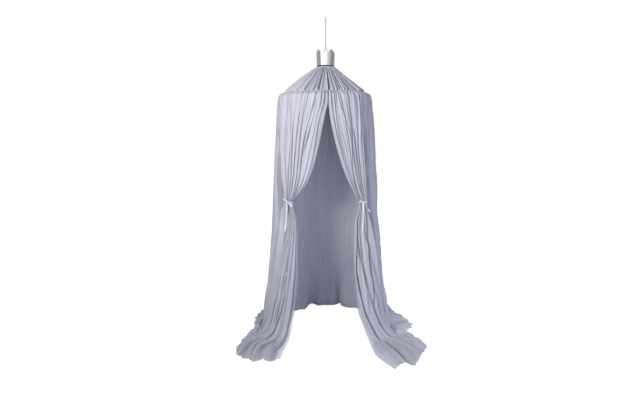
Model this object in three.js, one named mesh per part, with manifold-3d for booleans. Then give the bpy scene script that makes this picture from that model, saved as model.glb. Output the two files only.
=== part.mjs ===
// Hanging bed canopy with a small silver crown, in millimetres, +Z up.
// The origin is where the hanging ring rests on its hook, and everything hangs below it.
// The front of the canopy faces -Y. The left curtain is on the -X side.
// Heights are counted from the floor, and fall() turns them into the hanging frame.

import * as THREE from "three";
import { mergeVertices } from "three/addons/utils/BufferGeometryUtils.js";
import Module from "manifold-3d";

const wasm = await Module();
wasm.setup();

// Heights above the floor of the hoop's seam and of the ribbon ties
const seam_height = 1528;
const tie_height = 879;

// What stands above the seam, and how far below it the shoulder of gathered cloth lies
const shoulder_fall = 63;
const cone_rise = 162;
const bridle_rise = 110;
const cord_rise = 180;

// Hanging ring and cord
const ring_bore = 12;
const ring_wire = 2;
const cord_diameter = 5;
const eye_cord = 4;
const eye_bore = 4;
const knot_width = 8.4;
const knot_tall = 9;
const leg_diameter = 3.5;
const leg_knot = 6.4;
const leg_count = 3;
const leg_turn = 5;

// Crown
const crown_base_diameter = 107;
const crown_mouth_diameter = 115;
const crown_wall = 1.5;
const crown_point_tall = 95;
const crown_valley_tall = 72;
const crown_points = 4;
const crown_turn = 37;
const point_half_angle = 29;
const base_band_tall = 6;
const base_band_wall = 2;
const base_lip = 5;
const base_lip_tall = 1.6;
const disc_thickness = 2.4;
const eyelet_height = 25;
const eyelet_bore = 5.4;
const eyelet_wire = 1.6;
const eyelet_flange = 9;
const eyelet_flange_thickness = 1.2;
const eyelet_shank = 2;

// Hoop and its tape
const hoop_diameter = 494;
const hoop_wire = 6;
const hoop_end_gap = 2;
const ferrule_length = 46;
const ferrule_wall = 0.8;
const ferrule_play = 1;
const tape_wall = 1.2;
const tape_play = 1.4;
const tape_slit = 2;

// Cone of cloth
const cone_cloth = 2.6;
const cone_pleats = 52;
const cone_pleat_low = 5;
const cone_pleat_high = 1.4;
const cone_neck_inset = 1.5;
const cone_neck_tall = 12;

// Hanging cloth
const cloth_thickness = 3.2;
const front_thickness = 11;
const tail_thickness = 26;
const trail_thickness = 20;
const shoulder_swell = 42.6;
const waist_flare = 36;
const low_flare = 65;
const touch_flare = 27;
const floor_sweep = 45;
const back_draw = 28;
const side_lean = 34;
const low_height = 186;
const fold_rim = 4;
const fold_low = 14;
const fold_floor = 12;
const front_fold_rim = 5;
const front_fold_low = 9;
const waist_fold = 1.6;
const side_fold_pitch = 42;
const front_fold_pitch = 22;
const part_angle = 2.3;
const left_span_angle = 63;
const right_span_angle = 45;
const side_draw_angle = 40;
const panel_angle = 123;

// Ribbon ties
const waist_wide = 50;
const waist_deep = 36;
const left_waist_turn = 20;
const right_waist_turn = -6;
const neck_tall = 18;
const neck_reach = 120;
const ribbon_width = 12;
const ribbon_thickness = 1;
const bow_knot_wide = 11;
const bow_knot_tall = 10;
const bow_knot_deep = 8;
const bow_loop_long = 30;
const bow_loop_deep = 10;
const bow_splay = 24;
const ribbon_lean = 18;
const ribbon_long = 172;
const ribbon_short = 48;
const left_upper_loop_tilt = 143;
const left_lower_loop_tilt = -37;
const right_upper_loop_tilt = 135;
const right_lower_loop_tilt = 15;

// Clearances
const touch_gap = 0.3;
const sewn_gap = 0.45;
const seam_gap = 3;
const waist_gap = 9;
const tail_gap = 6;
const band_gap = 1;

// Counts of facets
const ring_sides = 8;
const eyelet_sides = 6;
const lathe_steps = 48;
const wire_steps = 18;
const crown_steps = 16;
const ferrule_steps = 8;
const tape_corners = 8;
const band_steps = 32;
const loop_steps = 8;
const ball_steps_round = 10;
const ball_steps_up = 8;
const tube_step_share = 2.5;
const samples_per_fold = 2;
const ribbon_rows = 6;

// Points closer than this are one corner of a mesh
const same_place = 0.0003;

const materials = {
  cord: { color: 0xdedede, roughness: 0.85, metalness: 0 },
  steel: { color: 0xb4b4b6, roughness: 0.35, metalness: 0.9 },
  silver: { color: 0xb9b9bb, roughness: 0.22, metalness: 1 },
  darkBand: { color: 0x4a4a4e, roughness: 0.6, metalness: 0.3 },
  board: { color: 0xd8d8dc, roughness: 0.8, metalness: 0 },
  voile: { color: 0xb9b9cc, roughness: 0.9, metalness: 0 },
  satin: { color: 0xf1f1f6, roughness: 0.4, metalness: 0 },
};

const shoulder_height = seam_height - shoulder_fall;
const crown_height = seam_height + cone_rise;
const bridle_height = crown_height + bridle_rise;
const hang_height = bridle_height + cord_rise;

const canopy = new THREE.Group();

// Small helpers

const degree = Math.PI / 180;
const quarter_turn = 90;
const half_turn = 180;
const full_turn = 360;
const fall = (height) => height - hang_height;
const mix = (from, to, share) => from + (to - from) * share;

function smooth(share) {
  const held = Math.min(Math.max(share, 0), 1);
  return held * held * (3 - 2 * held);
}

// Starts fast and ends slowly.
function eased(share) {
  const left = 1 - Math.min(Math.max(share, 0), 1);
  return 1 - left * left;
}

// A point on a circle round the canopy's axis; angle 0 is the front, positive to +X.
function plan(reach, angle) {
  return new THREE.Vector2(reach * Math.sin(angle * degree), -reach * Math.cos(angle * degree));
}

// Closes a geometry: shared corners are merged, and its faces are turned outwards.
function closed(geometry) {
  const bare = geometry.clone();
  bare.deleteAttribute("normal");
  bare.deleteAttribute("uv");
  const whole = mergeVertices(bare, same_place);
  const place = whole.getAttribute("position");
  const faces = whole.getIndex().array;
  let volume = 0;
  const a = new THREE.Vector3();
  const b = new THREE.Vector3();
  const c = new THREE.Vector3();
  for (let i = 0; i < faces.length; i += 3) {
    a.fromBufferAttribute(place, faces[i]);
    b.fromBufferAttribute(place, faces[i + 1]);
    c.fromBufferAttribute(place, faces[i + 2]);
    volume += a.dot(b.cross(c));
  }
  if (volume < 0) {
    for (let i = 0; i < faces.length; i += 3) {
      [faces[i], faces[i + 1]] = [faces[i + 1], faces[i]];
    }
  }
  whole.computeVertexNormals();
  return whole;
}

function add(name, material, geometry) {
  const mesh = new THREE.Mesh(closed(geometry), new THREE.MeshStandardMaterial(materials[material]));
  mesh.name = name;
  canopy.add(mesh);
  return mesh;
}

function toManifold(geometry) {
  const whole = closed(geometry);
  return new wasm.Manifold(new wasm.Mesh({
    numProp: 3,
    vertProperties: new Float32Array(whole.getAttribute("position").array),
    triVerts: new Uint32Array(whole.getIndex().array),
  }));
}

function joined(geometries) {
  const whole = geometries.map(toManifold).reduce((sum, next) => sum.add(next));
  const mesh = whole.getMesh();
  const geometry = new THREE.BufferGeometry();
  geometry.setAttribute("position", new THREE.BufferAttribute(mesh.vertProperties, 3));
  geometry.setIndex(new THREE.BufferAttribute(mesh.triVerts, 1));
  return geometry;
}

// A ring turned round the Z axis from a closed outline of (radius, height) pairs.
function turned(outline, steps = lathe_steps) {
  const points = outline.map(([radius, height]) => new THREE.Vector2(radius, height));
  points.push(points[0].clone());
  return new THREE.LatheGeometry(points, steps).rotateX(Math.PI / 2);
}

// A round wire bent into a full ring about the Z axis.
function wireRing(middle_radius, wire_diameter, steps, sides = ring_sides) {
  const outline = [];
  for (let i = 0; i < sides; i += 1) {
    const turn = (i / sides) * 2 * Math.PI;
    outline.push([
      middle_radius + (wire_diameter / 2) * Math.cos(turn),
      (wire_diameter / 2) * Math.sin(turn),
    ]);
  }
  return turned(outline, steps);
}

function discShape(diameter, sides = ring_sides) {
  const shape = new THREE.Shape();
  for (let i = 0; i < sides; i += 1) {
    const turn = (i / sides) * 2 * Math.PI;
    const x = (diameter / 2) * Math.cos(turn);
    const y = (diameter / 2) * Math.sin(turn);
    if (i === 0) shape.moveTo(x, y);
    else shape.lineTo(x, y);
  }
  shape.closePath();
  return shape;
}

function tube(curve, diameter, steps) {
  return new THREE.ExtrudeGeometry(discShape(diameter), { steps, extrudePath: curve });
}

function straightTube(from, to, diameter) {
  const steps = Math.max(1, Math.round(from.distanceTo(to) / (tube_step_share * diameter)));
  return tube(new THREE.LineCurve3(from, to), diameter, steps);
}

function ellipsoid(wide, deep, tall) {
  const ball = new THREE.SphereGeometry(1, ball_steps_round, ball_steps_up).rotateX(Math.PI / 2);
  return ball.scale(wide / 2, deep / 2, tall / 2);
}

// A closed skin between two grids of points with the same rows and columns.
function skin(front, back) {
  const rows = front.length;
  const columns = front[0].length;
  const places = [];
  const faces = [];
  for (const grid of [front, back]) {
    for (const row of grid) {
      for (const point of row) places.push(point.x, point.y, point.z);
    }
  }
  const at = (side, row, column) => side * rows * columns + row * columns + column;
  const quad = (a, b, c, d) => faces.push(a, b, c, a, c, d);
  for (let i = 0; i + 1 < rows; i += 1) {
    for (let j = 0; j + 1 < columns; j += 1) {
      quad(at(0, i, j), at(0, i, j + 1), at(0, i + 1, j + 1), at(0, i + 1, j));
      quad(at(1, i, j), at(1, i + 1, j), at(1, i + 1, j + 1), at(1, i, j + 1));
    }
  }
  for (let i = 0; i + 1 < rows; i += 1) {
    quad(at(0, i, 0), at(0, i + 1, 0), at(1, i + 1, 0), at(1, i, 0));
    quad(at(0, i + 1, columns - 1), at(0, i, columns - 1), at(1, i, columns - 1), at(1, i + 1, columns - 1));
  }
  for (let j = 0; j + 1 < columns; j += 1) {
    quad(at(0, 0, j + 1), at(0, 0, j), at(1, 0, j), at(1, 0, j + 1));
    quad(at(0, rows - 1, j), at(0, rows - 1, j + 1), at(1, rows - 1, j + 1), at(1, rows - 1, j));
  }
  const geometry = new THREE.BufferGeometry();
  geometry.setAttribute("position", new THREE.BufferAttribute(new Float32Array(places), 3));
  geometry.setIndex(faces);
  return geometry;
}

// Hanging ring, cord and bridle

const ring_middle = ring_bore / 2 + ring_wire / 2;
const eye_middle = eye_bore / 2 + eye_cord / 2;
const eye_centre = -ring_bore + touch_gap - eye_bore / 2;
const top_knot_centre = eye_centre - eye_middle - knot_tall / 2;
const cord_top = top_knot_centre - knot_tall / 2 - touch_gap;
const bridle_centre = fall(bridle_height);
const cord_bottom = bridle_centre + knot_tall / 2 + touch_gap;

function makeHangingRing() {
  const ring = wireRing(ring_middle, ring_wire, wire_steps).rotateX(Math.PI / 2);
  add("hanging_ring", "steel", ring.translate(0, 0, -ring_bore / 2));
}

function makeCordEye() {
  const loop = wireRing(eye_middle, eye_cord, wire_steps).rotateX(Math.PI / 2).rotateZ(Math.PI / 2);
  loop.translate(0, 0, eye_centre);
  const knot = ellipsoid(knot_width, knot_width, knot_tall).translate(0, 0, top_knot_centre);
  add("cord_eye", "cord", joined([loop, knot]));
}

function makeCord() {
  const top = new THREE.Vector3(0, 0, cord_top);
  const bottom = new THREE.Vector3(0, 0, cord_bottom);
  add("hanging_cord", "cord", straightTube(bottom, top, cord_diameter));
  const knot = ellipsoid(knot_width, knot_width, knot_tall).translate(0, 0, bridle_centre);
  add("bridle_knot", "cord", knot);
}

// Crown

const crown_base = fall(crown_height);
const crown_base_radius = crown_base_diameter / 2;
const crown_flare = (crown_mouth_diameter - crown_base_diameter) / 2 / crown_point_tall;
const crownRadius = (height) => crown_base_radius + crown_flare * height;

// Height of the crown's edge, by the angle from its nearest point.
function crownEdge(angle) {
  const lift = Math.max(0, 1 - Math.abs(angle) / point_half_angle);
  return mix(crown_valley_tall, crown_point_tall, lift);
}

function makeCrown() {
  const pitch = full_turn / crown_points;
  const row_shares = [0, 0.5, 0.85, 1];
  const outer = [];
  const inner = [];
  for (const row_share of row_shares) {
    const outer_row = [];
    const inner_row = [];
    for (let i = 0; i <= crown_points * crown_steps; i += 1) {
      const angle = (i / crown_steps) * pitch;
      const off_point = angle - Math.round(angle / pitch) * pitch;
      const height = crownEdge(off_point) * row_share;
      const turn = (angle + crown_turn) * degree;
      const radius = crownRadius(height);
      const ring = (reach) => new THREE.Vector3(
        reach * Math.cos(turn), reach * Math.sin(turn), crown_base + height,
      );
      outer_row.push(ring(radius));
      inner_row.push(ring(radius - crown_wall));
    }
    outer.push(outer_row);
    inner.push(inner_row);
  }
  add("crown", "silver", loopSkin(outer, inner));
}

// Like skin(), for grids whose last column is their first: no walls at the sides.
function loopSkin(front, back) {
  const rows = front.length;
  const columns = front[0].length - 1;
  const places = [];
  const faces = [];
  for (const grid of [front, back]) {
    for (const row of grid) {
      for (const point of row.slice(0, columns)) places.push(point.x, point.y, point.z);
    }
  }
  const at = (side, row, column) => side * rows * columns + row * columns + (column % columns);
  const quad = (a, b, c, d) => faces.push(a, b, c, a, c, d);
  for (let j = 0; j < columns; j += 1) {
    for (let i = 0; i + 1 < rows; i += 1) {
      quad(at(0, i, j), at(0, i, j + 1), at(0, i + 1, j + 1), at(0, i + 1, j));
      quad(at(1, i, j), at(1, i + 1, j), at(1, i + 1, j + 1), at(1, i, j + 1));
    }
    quad(at(0, 0, j + 1), at(0, 0, j), at(1, 0, j), at(1, 0, j + 1));
    quad(at(0, rows - 1, j), at(0, rows - 1, j + 1), at(1, rows - 1, j + 1), at(1, rows - 1, j));
  }
  const geometry = new THREE.BufferGeometry();
  geometry.setAttribute("position", new THREE.BufferAttribute(new Float32Array(places), 3));
  geometry.setIndex(faces);
  return geometry;
}

const band_top = crown_base - touch_gap;
const band_bottom = band_top - base_band_tall;
const band_inner = crown_base_radius - base_band_wall;

function makeCrownBase() {
  const outline = [
    [crown_base_radius, band_bottom],
    [crown_base_radius, band_top],
    [band_inner, band_top],
    [band_inner, band_bottom + base_lip_tall],
    [band_inner - base_lip, band_bottom + base_lip_tall],
    [band_inner - base_lip, band_bottom],
  ];
  add("crown_base_ring", "darkBand", turned(outline));
  const disc = discShape(2 * (band_inner - touch_gap), lathe_steps);
  const plate = new THREE.ExtrudeGeometry(disc, { depth: disc_thickness, bevelEnabled: false });
  add("top_disc", "board", plate.translate(0, 0, band_bottom + base_lip_tall + touch_gap));
}

// The bridle's legs run through eyes on the crown's inner wall and end in a knot behind them.
const eyelet_middle = eyelet_bore / 2 + eyelet_wire / 2;
const eyelet_wall_radius = crownRadius(eyelet_height) - crown_wall;
const eyelet_wall = eyelet_wall_radius * Math.cos(Math.PI / (crown_points * crown_steps)) - touch_gap;
const eyelet_standoff = eyelet_flange_thickness + eyelet_shank + eyelet_middle;

function makeBridle() {
  const knot_reach = leg_knot / 2 + eyelet_wire / 2 + touch_gap;
  const knot_beyond = Math.sqrt(knot_reach ** 2 - eyelet_middle ** 2);
  for (let i = 0; i < leg_count; i += 1) {
    const turn = (leg_turn + (i * full_turn) / leg_count) * degree;
    const out = new THREE.Vector3(Math.cos(turn), Math.sin(turn), 0);
    const top = new THREE.Vector3(0, 0, bridle_centre);
    const eye = out.clone().multiplyScalar(eyelet_wall - eyelet_standoff);
    eye.z = crown_base + eyelet_height;
    const along = eye.clone().sub(top).normalize();
    const start = top.clone().addScaledVector(along, knot_tall / 2 + touch_gap);
    const end = eye.clone().addScaledVector(along, knot_beyond);
    const stop = ellipsoid(leg_knot, leg_knot, leg_knot).translate(end.x, end.y, end.z);
    add(`bridle_leg_${i + 1}`, "cord", joined([straightTube(start, end, leg_diameter), stop]));

    const eye_ring = wireRing(eyelet_middle, eyelet_wire, wire_steps, eyelet_sides);
    const tilt = new THREE.Quaternion().setFromUnitVectors(new THREE.Vector3(0, 0, 1), along);
    eye_ring.applyQuaternion(tilt).translate(eye.x, eye.y, eye.z);
    const flange_face = out.clone().multiplyScalar(eyelet_wall);
    flange_face.z = eye.z;
    const flange_back = flange_face.clone().addScaledVector(out, -eyelet_flange_thickness);
    const flange = tube(new THREE.LineCurve3(flange_back, flange_face), eyelet_flange, 1);
    const rim = out.clone().addScaledVector(along, -out.dot(along)).normalize();
    const foot = eye.clone().addScaledVector(rim, eyelet_middle);
    const socket = flange_back.clone().lerp(flange_face, 0.5);
    const shank = tube(new THREE.LineCurve3(foot, socket), eyelet_wire, 1);
    add(`crown_eyelet_${i + 1}`, "steel", joined([eye_ring, shank, flange]));
  }
}

// Hoop, its ferrule and the sewn tape round them

const hoop_radius = hoop_diameter / 2;
const ferrule_bore = hoop_wire + 2 * ferrule_play;
const ferrule_diameter = ferrule_bore + 2 * ferrule_wall;
const tape_bore = ferrule_diameter + 2 * tape_play;
const tape_diameter = tape_bore + 2 * tape_wall;
const hoop_level = fall(seam_height) - touch_gap - tape_diameter / 2;
const tape_reach = hoop_radius + tape_diameter / 2;

// An arc of the hoop's circle at the back, or the rest of the circle where it is long.
function hoopArc(from_angle, to_angle, steps) {
  const points = [];
  for (let i = 0; i <= steps; i += 1) {
    const at = plan(hoop_radius, mix(from_angle, to_angle, i / steps));
    points.push(new THREE.Vector3(at.x, at.y, hoop_level));
  }
  return points;
}

// A round section swept along points that lie in one level plane.
function levelTube(points, diameters, sides = ring_sides) {
  const ringAt = (i, diameter) => {
    const before = points[Math.max(i - 1, 0)];
    const after = points[Math.min(i + 1, points.length - 1)];
    const along = after.clone().sub(before).normalize();
    const across = new THREE.Vector3(along.y, -along.x, 0);
    const row = [];
    for (let k = 0; k <= sides; k += 1) {
      const turn = ((k % sides) / sides) * 2 * Math.PI;
      const point = points[i].clone().addScaledVector(across, (diameter / 2) * Math.cos(turn));
      point.z += (diameter / 2) * Math.sin(turn);
      row.push(point);
    }
    return row;
  };
  const outer = points.map((_, i) => ringAt(i, diameters.outer));
  if (diameters.inner) return loopSkin(outer, points.map((_, i) => ringAt(i, diameters.inner)));
  const centre = points.map((point) => Array(sides + 1).fill(point));
  return solidTube(outer, centre[0][0], centre.at(-1)[0]);
}

function solidTube(rings, first, last) {
  const sides = rings[0].length - 1;
  const places = [first.x, first.y, first.z, last.x, last.y, last.z];
  const faces = [];
  for (const ring of rings) {
    for (const point of ring.slice(0, sides)) places.push(point.x, point.y, point.z);
  }
  const at = (row, k) => 2 + row * sides + (k % sides);
  for (let k = 0; k < sides; k += 1) {
    for (let i = 0; i + 1 < rings.length; i += 1) {
      faces.push(at(i, k), at(i, k + 1), at(i + 1, k + 1), at(i, k), at(i + 1, k + 1), at(i + 1, k));
    }
    faces.push(0, at(0, k + 1), at(0, k));
    faces.push(1, at(rings.length - 1, k), at(rings.length - 1, k + 1));
  }
  const geometry = new THREE.BufferGeometry();
  geometry.setAttribute("position", new THREE.BufferAttribute(new Float32Array(places), 3));
  geometry.setIndex(faces);
  return geometry;
}

function makeHoop() {
  const half_gap = hoop_end_gap / 2 / hoop_radius / degree;
  const half_ferrule = ferrule_length / 2 / hoop_radius / degree;
  const long_arc = hoopArc(-half_turn + half_gap, half_turn - half_gap, lathe_steps);
  add("hoop", "steel", levelTube(long_arc, { outer: hoop_wire }));
  const short_arc = hoopArc(half_turn - half_ferrule, half_turn + half_ferrule, ferrule_steps);
  add("hoop_ferrule", "steel", levelTube(short_arc, { outer: ferrule_diameter, inner: ferrule_bore }));
  const slit_angle = Math.asin(tape_slit / tape_bore);
  const tapePoint = (radius, i) => {
    const turn = mix(-Math.PI / 2 + slit_angle, (3 * Math.PI) / 2 - slit_angle, i / tape_corners);
    return [hoop_radius + radius * Math.cos(turn), hoop_level + radius * Math.sin(turn)];
  };
  const outside = [];
  const inside = [];
  for (let i = 0; i <= tape_corners; i += 1) {
    outside.push(tapePoint(tape_diameter / 2, i));
    inside.unshift(tapePoint(tape_bore / 2, i));
  }
  add("rim_tape", "voile", turned([...outside, ...inside]));
}

// Pleated cone

function makeCone() {
  const top = band_bottom - touch_gap;
  const neck = top - cone_neck_tall;
  const foot = fall(seam_height);
  const neck_radius = crown_base_radius - cone_neck_inset;
  const slope = Math.atan2(neck - foot, hoop_radius - neck_radius);
  const half_upright = cone_cloth / 2;
  const half_sloping = half_upright / Math.sin(slope);
  const stations = [
    { radius: neck_radius, level: top, fold: cone_pleat_high, half: half_upright },
    { radius: neck_radius, level: neck, fold: cone_pleat_high, half: half_upright },
    { radius: hoop_radius, level: foot, fold: cone_pleat_low, half: half_sloping },
  ];
  const outer = [];
  const inner = [];
  for (const { radius, level, fold, half } of stations) {
    const outer_row = [];
    const inner_row = [];
    for (let i = 0; i <= cone_pleats * samples_per_fold; i += 1) {
      const angle = (i / samples_per_fold / cone_pleats) * full_turn;
      const wave = i % samples_per_fold === 0 ? fold / 2 : -fold / 2;
      const outside = plan(radius + wave + half, angle);
      const inside = plan(radius + wave - half, angle);
      outer_row.push(new THREE.Vector3(outside.x, outside.y, level));
      inner_row.push(new THREE.Vector3(inside.x, inside.y, level));
    }
    outer.push(outer_row);
    inner.push(inner_row);
  }
  add("cone_skirt", "voile", loopSkin(outer, inner));
}

// Hanging cloth: one guide surface, cut into panels.
// A thread of the cloth starts at the seam at its own angle and runs down to the hem.

// How far the shoulder of gathered cloth stands out, in shares of the way from tape to shoulder.
const shoulder_shares = [
  { out: 0, down: 0 },
  { out: 0.5, down: 0.04 },
  { out: 0.88, down: 0.36 },
  { out: 1, down: 1 },
];

// Reach of the cloth from the axis, from the shoulder under the hoop down to the hem on the floor
const shoulder_start = tape_reach + sewn_gap;
const shoulder_reach = tape_reach + shoulder_swell;
const waist_reach = shoulder_reach + waist_flare;
const low_reach = waist_reach + low_flare;
const touch_reach = low_reach + touch_flare;
const floor_reaches = [touch_reach, touch_reach + floor_sweep, touch_reach + 2 * floor_sweep];
const shoulder_top = seam_height - tape_diameter / 2;

// Reach of the free-hanging cloth from the axis, by height.
function freeReach(height) {
  if (height > tie_height) {
    return mix(waist_reach, shoulder_reach, (height - tie_height) / (shoulder_height - tie_height));
  }
  if (height > low_height) {
    const share = (tie_height - height) / (tie_height - low_height);
    return mix(waist_reach, low_reach, share ** 1.3);
  }
  return mix(low_reach, touch_reach, ((low_height - height) / low_height) ** 1.5);
}

const shoulderThread = (angle) => shoulder_shares.map(({ out, down }) => {
  const at = plan(mix(shoulder_start, shoulder_reach, out), angle);
  return new THREE.Vector3(at.x, at.y, mix(shoulder_top, shoulder_height, down));
});

// Each front curtain: where it is tied, how its inner edge is drawn aside, and how its tail spreads.
// Tail stations give height as a share of the tie's height, and the inner and outer edge and the
// bulge between them as shares of the shoulder's reach. The ribbon ends' start, drift and curl to
// the side are shares of the ribbon's width.
const curtains = {
  left: {
    sign: -1,
    span_angle: left_span_angle,
    waist_turn: left_waist_turn,
    tie_x_share: 0.726,
    tie_y_share: 0.673,
    innerShare: (fallen) => 0.58 * fallen + 0.42 * fallen ** 6,
    loop_tilts: [left_upper_loop_tilt, left_lower_loop_tilt],
    ribbon_ends: [
      { length: ribbon_long, start_share: -0.58, drift_share: -0.17, curl_share: -0.5 },
      { length: ribbon_short, start_share: -0.75, drift_share: -1.7, curl_share: -0.33 },
    ],
    tail_shares: [
      { height: 0.853, inner: [0.58, 0.73], outer: [0.88, 0.56], bulge: 0.03 },
      { height: 0.592, inner: [0.566, 0.79], outer: [1.01, 0.5], bulge: 0.06 },
      { height: 0.341, inner: [0.566, 0.86], outer: [1.16, 0.43], bulge: 0.1 },
      { height: 0.136, inner: [0.63, 0.9], outer: [1.25, 0.37], bulge: 0.13 },
      { height: 0, inner: [0.76, 1.01], outer: [1.35, 0.33], bulge: 0.17 },
      { height: 0, inner: [0.84, 1.23], outer: [1.45, 0.26], bulge: 0.32 },
      { height: 0, inner: [0.96, 1.48], outer: [1.58, 0.15], bulge: 0.6 },
    ],
  },
  right: {
    sign: 1,
    span_angle: right_span_angle,
    waist_turn: right_waist_turn,
    tie_x_share: 0.753,
    tie_y_share: 0.673,
    innerShare: (fallen) => 0.85 * fallen ** 1.45 + 0.15 * fallen ** 8,
    loop_tilts: [right_upper_loop_tilt, right_lower_loop_tilt],
    ribbon_ends: [
      { length: ribbon_long, start_share: 0.17, drift_share: 0.17, curl_share: -0.33 },
      { length: ribbon_short, start_share: 0.5, drift_share: 2.8, curl_share: 0.5 },
    ],
    tail_shares: [
      { height: 0.853, inner: [0.626, 0.73], outer: [0.92, 0.56], bulge: 0.03 },
      { height: 0.592, inner: [0.616, 0.79], outer: [1.08, 0.5], bulge: 0.06 },
      { height: 0.341, inner: [0.633, 0.87], outer: [1.2, 0.42], bulge: 0.12 },
      { height: 0.136, inner: [0.79, 0.95], outer: [1.31, 0.38], bulge: 0.18 },
      { height: 0, inner: [0.93, 1.06], outer: [1.38, 0.37], bulge: 0.24 },
      { height: 0, inner: [1.06, 1.38], outer: [1.53, 0.31], bulge: 0.38 },
      { height: 0, inner: [1.26, 1.8], outer: [1.68, 0.22], bulge: 0.55 },
    ],
  },
};

// The curtain's edges stop just short of the ends of its oval section, so they keep a thickness.
const edge_share = 0.97;
const outerShare = (fallen) => fallen ** 3.5;
const swag_shares = [0.22, 0.42, 0.6, 0.76, 0.89];

const across = (curtain) => new THREE.Vector2(
  curtain.sign * Math.cos(curtain.waist_turn * degree), Math.sin(curtain.waist_turn * degree),
);
const outward = (curtain) => new THREE.Vector2(
  curtain.sign * Math.sin(curtain.waist_turn * degree), -Math.cos(curtain.waist_turn * degree),
);
const tieCentre = (curtain) => new THREE.Vector2(
  curtain.sign * curtain.tie_x_share * shoulder_reach, -curtain.tie_y_share * shoulder_reach,
);

// The stations of a front curtain's middle surface at a share of its width, 0 at the opening.
function frontThread(curtain, width_share) {
  const { sign } = curtain;
  const gap_angle = seam_gap / 2 / tape_reach / degree;
  const from = part_angle + sign * gap_angle;
  const to = sign * (curtain.span_angle - gap_angle);
  const angle = mix(from, to, width_share);
  const stations = shoulderThread(angle).map((point) => ({
    point, thick: front_thickness, fold: front_fold_rim, round: 0, floor: 0,
  }));
  const centre = tieCentre(curtain);
  const side = across(curtain).multiplyScalar((width_share - 0.5) * waist_wide * edge_share);
  const waist = centre.clone().add(side);
  const neck_top = tie_height + neck_tall / 2;
  for (const fallen of swag_shares) {
    const height = mix(shoulder_height, neck_top, fallen);
    const pull = mix(curtain.innerShare(fallen), outerShare(fallen), width_share);
    const free = plan(freeReach(height), angle);
    const at = free.lerp(waist, pull);
    stations.push({
      point: new THREE.Vector3(at.x, at.y, height),
      thick: mix(front_thickness, waist_deep, fallen ** 2),
      fold: mix(front_fold_rim, waist_fold, fallen ** 3),
      round: fallen ** 2,
      floor: 0,
    });
  }
  for (const height of [neck_top, tie_height - neck_tall / 2]) {
    const point = new THREE.Vector3(waist.x, waist.y, height);
    stations.push({ point, thick: waist_deep, fold: waist_fold, round: 1, floor: 0 });
  }
  curtain.tail_shares.forEach((row) => {
    const inner = new THREE.Vector2(sign * row.inner[0], -row.inner[1]);
    const outer = new THREE.Vector2(sign * row.outer[0], -row.outer[1]);
    const chord = outer.clone().sub(inner);
    const out = new THREE.Vector2(sign * -chord.y, sign * chord.x).normalize();
    if (out.dot(inner) < 0) out.negate();
    const bow = 4 * width_share * (1 - width_share) * row.bulge;
    const at = inner.lerp(outer, width_share).addScaledVector(out, bow).multiplyScalar(shoulder_reach);
    const on_floor = row.height === 0;
    const thick = on_floor ? trail_thickness : tail_thickness;
    stations.push({
      point: new THREE.Vector3(at.x, at.y, on_floor ? thick / 2 : row.height * tie_height),
      thick,
      fold: front_fold_low,
      round: 0,
      floor: on_floor ? 1 : 0,
    });
  });
  return stations;
}

// Outward normals of a grid of points, by the rows and columns beside each point.
function outwardNormals(grid, sign) {
  return grid.map((row, i) => row.map((_, j) => {
    const up = grid[Math.max(i - 1, 0)][j];
    const down = grid[Math.min(i + 1, grid.length - 1)][j];
    const left = row[Math.max(j - 1, 0)];
    const right = row[Math.min(j + 1, row.length - 1)];
    const normal = down.clone().sub(up).cross(right.clone().sub(left)).normalize();
    return normal.multiplyScalar(sign);
  }));
}

function hang(point) {
  return new THREE.Vector3(point.x, point.y, fall(Math.max(point.z, 0)));
}

// A front curtain is solid between a fluted outer face and a plain inner one.
function makeFrontCurtain(name, curtain) {
  const arc = (curtain.span_angle * degree) * tape_reach;
  const folds = Math.round(arc / front_fold_pitch);
  const columns = folds * samples_per_fold;
  const threads = [];
  for (let j = 0; j <= columns; j += 1) threads.push(frontThread(curtain, j / columns));
  const rows = threads[0].length;
  const grid = [];
  for (let i = 0; i < rows; i += 1) grid.push(threads.map((thread) => thread[i].point));
  const normals = outwardNormals(grid, curtain.sign);
  const front = [];
  const back = [];
  for (let i = 0; i < rows; i += 1) {
    const front_row = [];
    const back_row = [];
    for (let j = 0; j <= columns; j += 1) {
      const { point, thick, fold, round } = threads[j][i];
      const off_middle = edge_share * Math.abs((2 * j) / columns - 1);
      const oval = Math.sqrt(1 - off_middle ** 2);
      const slab = Math.sqrt(Math.sqrt(1 - off_middle ** 8));
      const half = (thick / 2) * mix(slab, oval, round);
      const groove = j % samples_per_fold === 0 ? Math.min(fold, half) : 0;
      front_row.push(hang(point.clone().addScaledVector(normals[i][j], half - groove)));
      back_row.push(hang(point.clone().addScaledVector(normals[i][j], -half)));
    }
    front.push(front_row);
    back.push(back_row);
  }
  add(name, "voile", skin(front, back));
}

// Side and back cloth

// Heights of the side cloth's stations, as shares of the fall to the ties and of the ties' height.
const above_tie_shares = [0.4, 0.72, 0.96];
const below_tie_shares = [0.976, 0.774, 0.546, 0.33, 0.137];
const hanging_heights = [
  ...above_tie_shares.map((share) => mix(shoulder_height, tie_height, share)),
  ...below_tie_shares.map((share) => tie_height * share),
];

function edgeThread(curtain) {
  return frontThread(curtain, 1);
}

// Where the edge of a side panel runs: beside the front curtain's outer edge.
function edgeAt(curtain, height) {
  const thread = edgeThread(curtain).filter((station) => station.floor === 0);
  for (let i = 0; i + 1 < thread.length; i += 1) {
    const upper = thread[i].point;
    const lower = thread[i + 1].point;
    if (height <= upper.z && height >= lower.z) {
      const share = (upper.z - height) / Math.max(upper.z - lower.z, touch_gap);
      return new THREE.Vector2(upper.x, upper.y).lerp(new THREE.Vector2(lower.x, lower.y), share);
    }
  }
  const last = thread.at(-1).point;
  return new THREE.Vector2(last.x, last.y);
}

function floorEdge(curtain, order) {
  const stations = edgeThread(curtain).filter((station) => station.floor === 1);
  const { point } = stations[order];
  return new THREE.Vector2(point.x, point.y);
}

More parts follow.
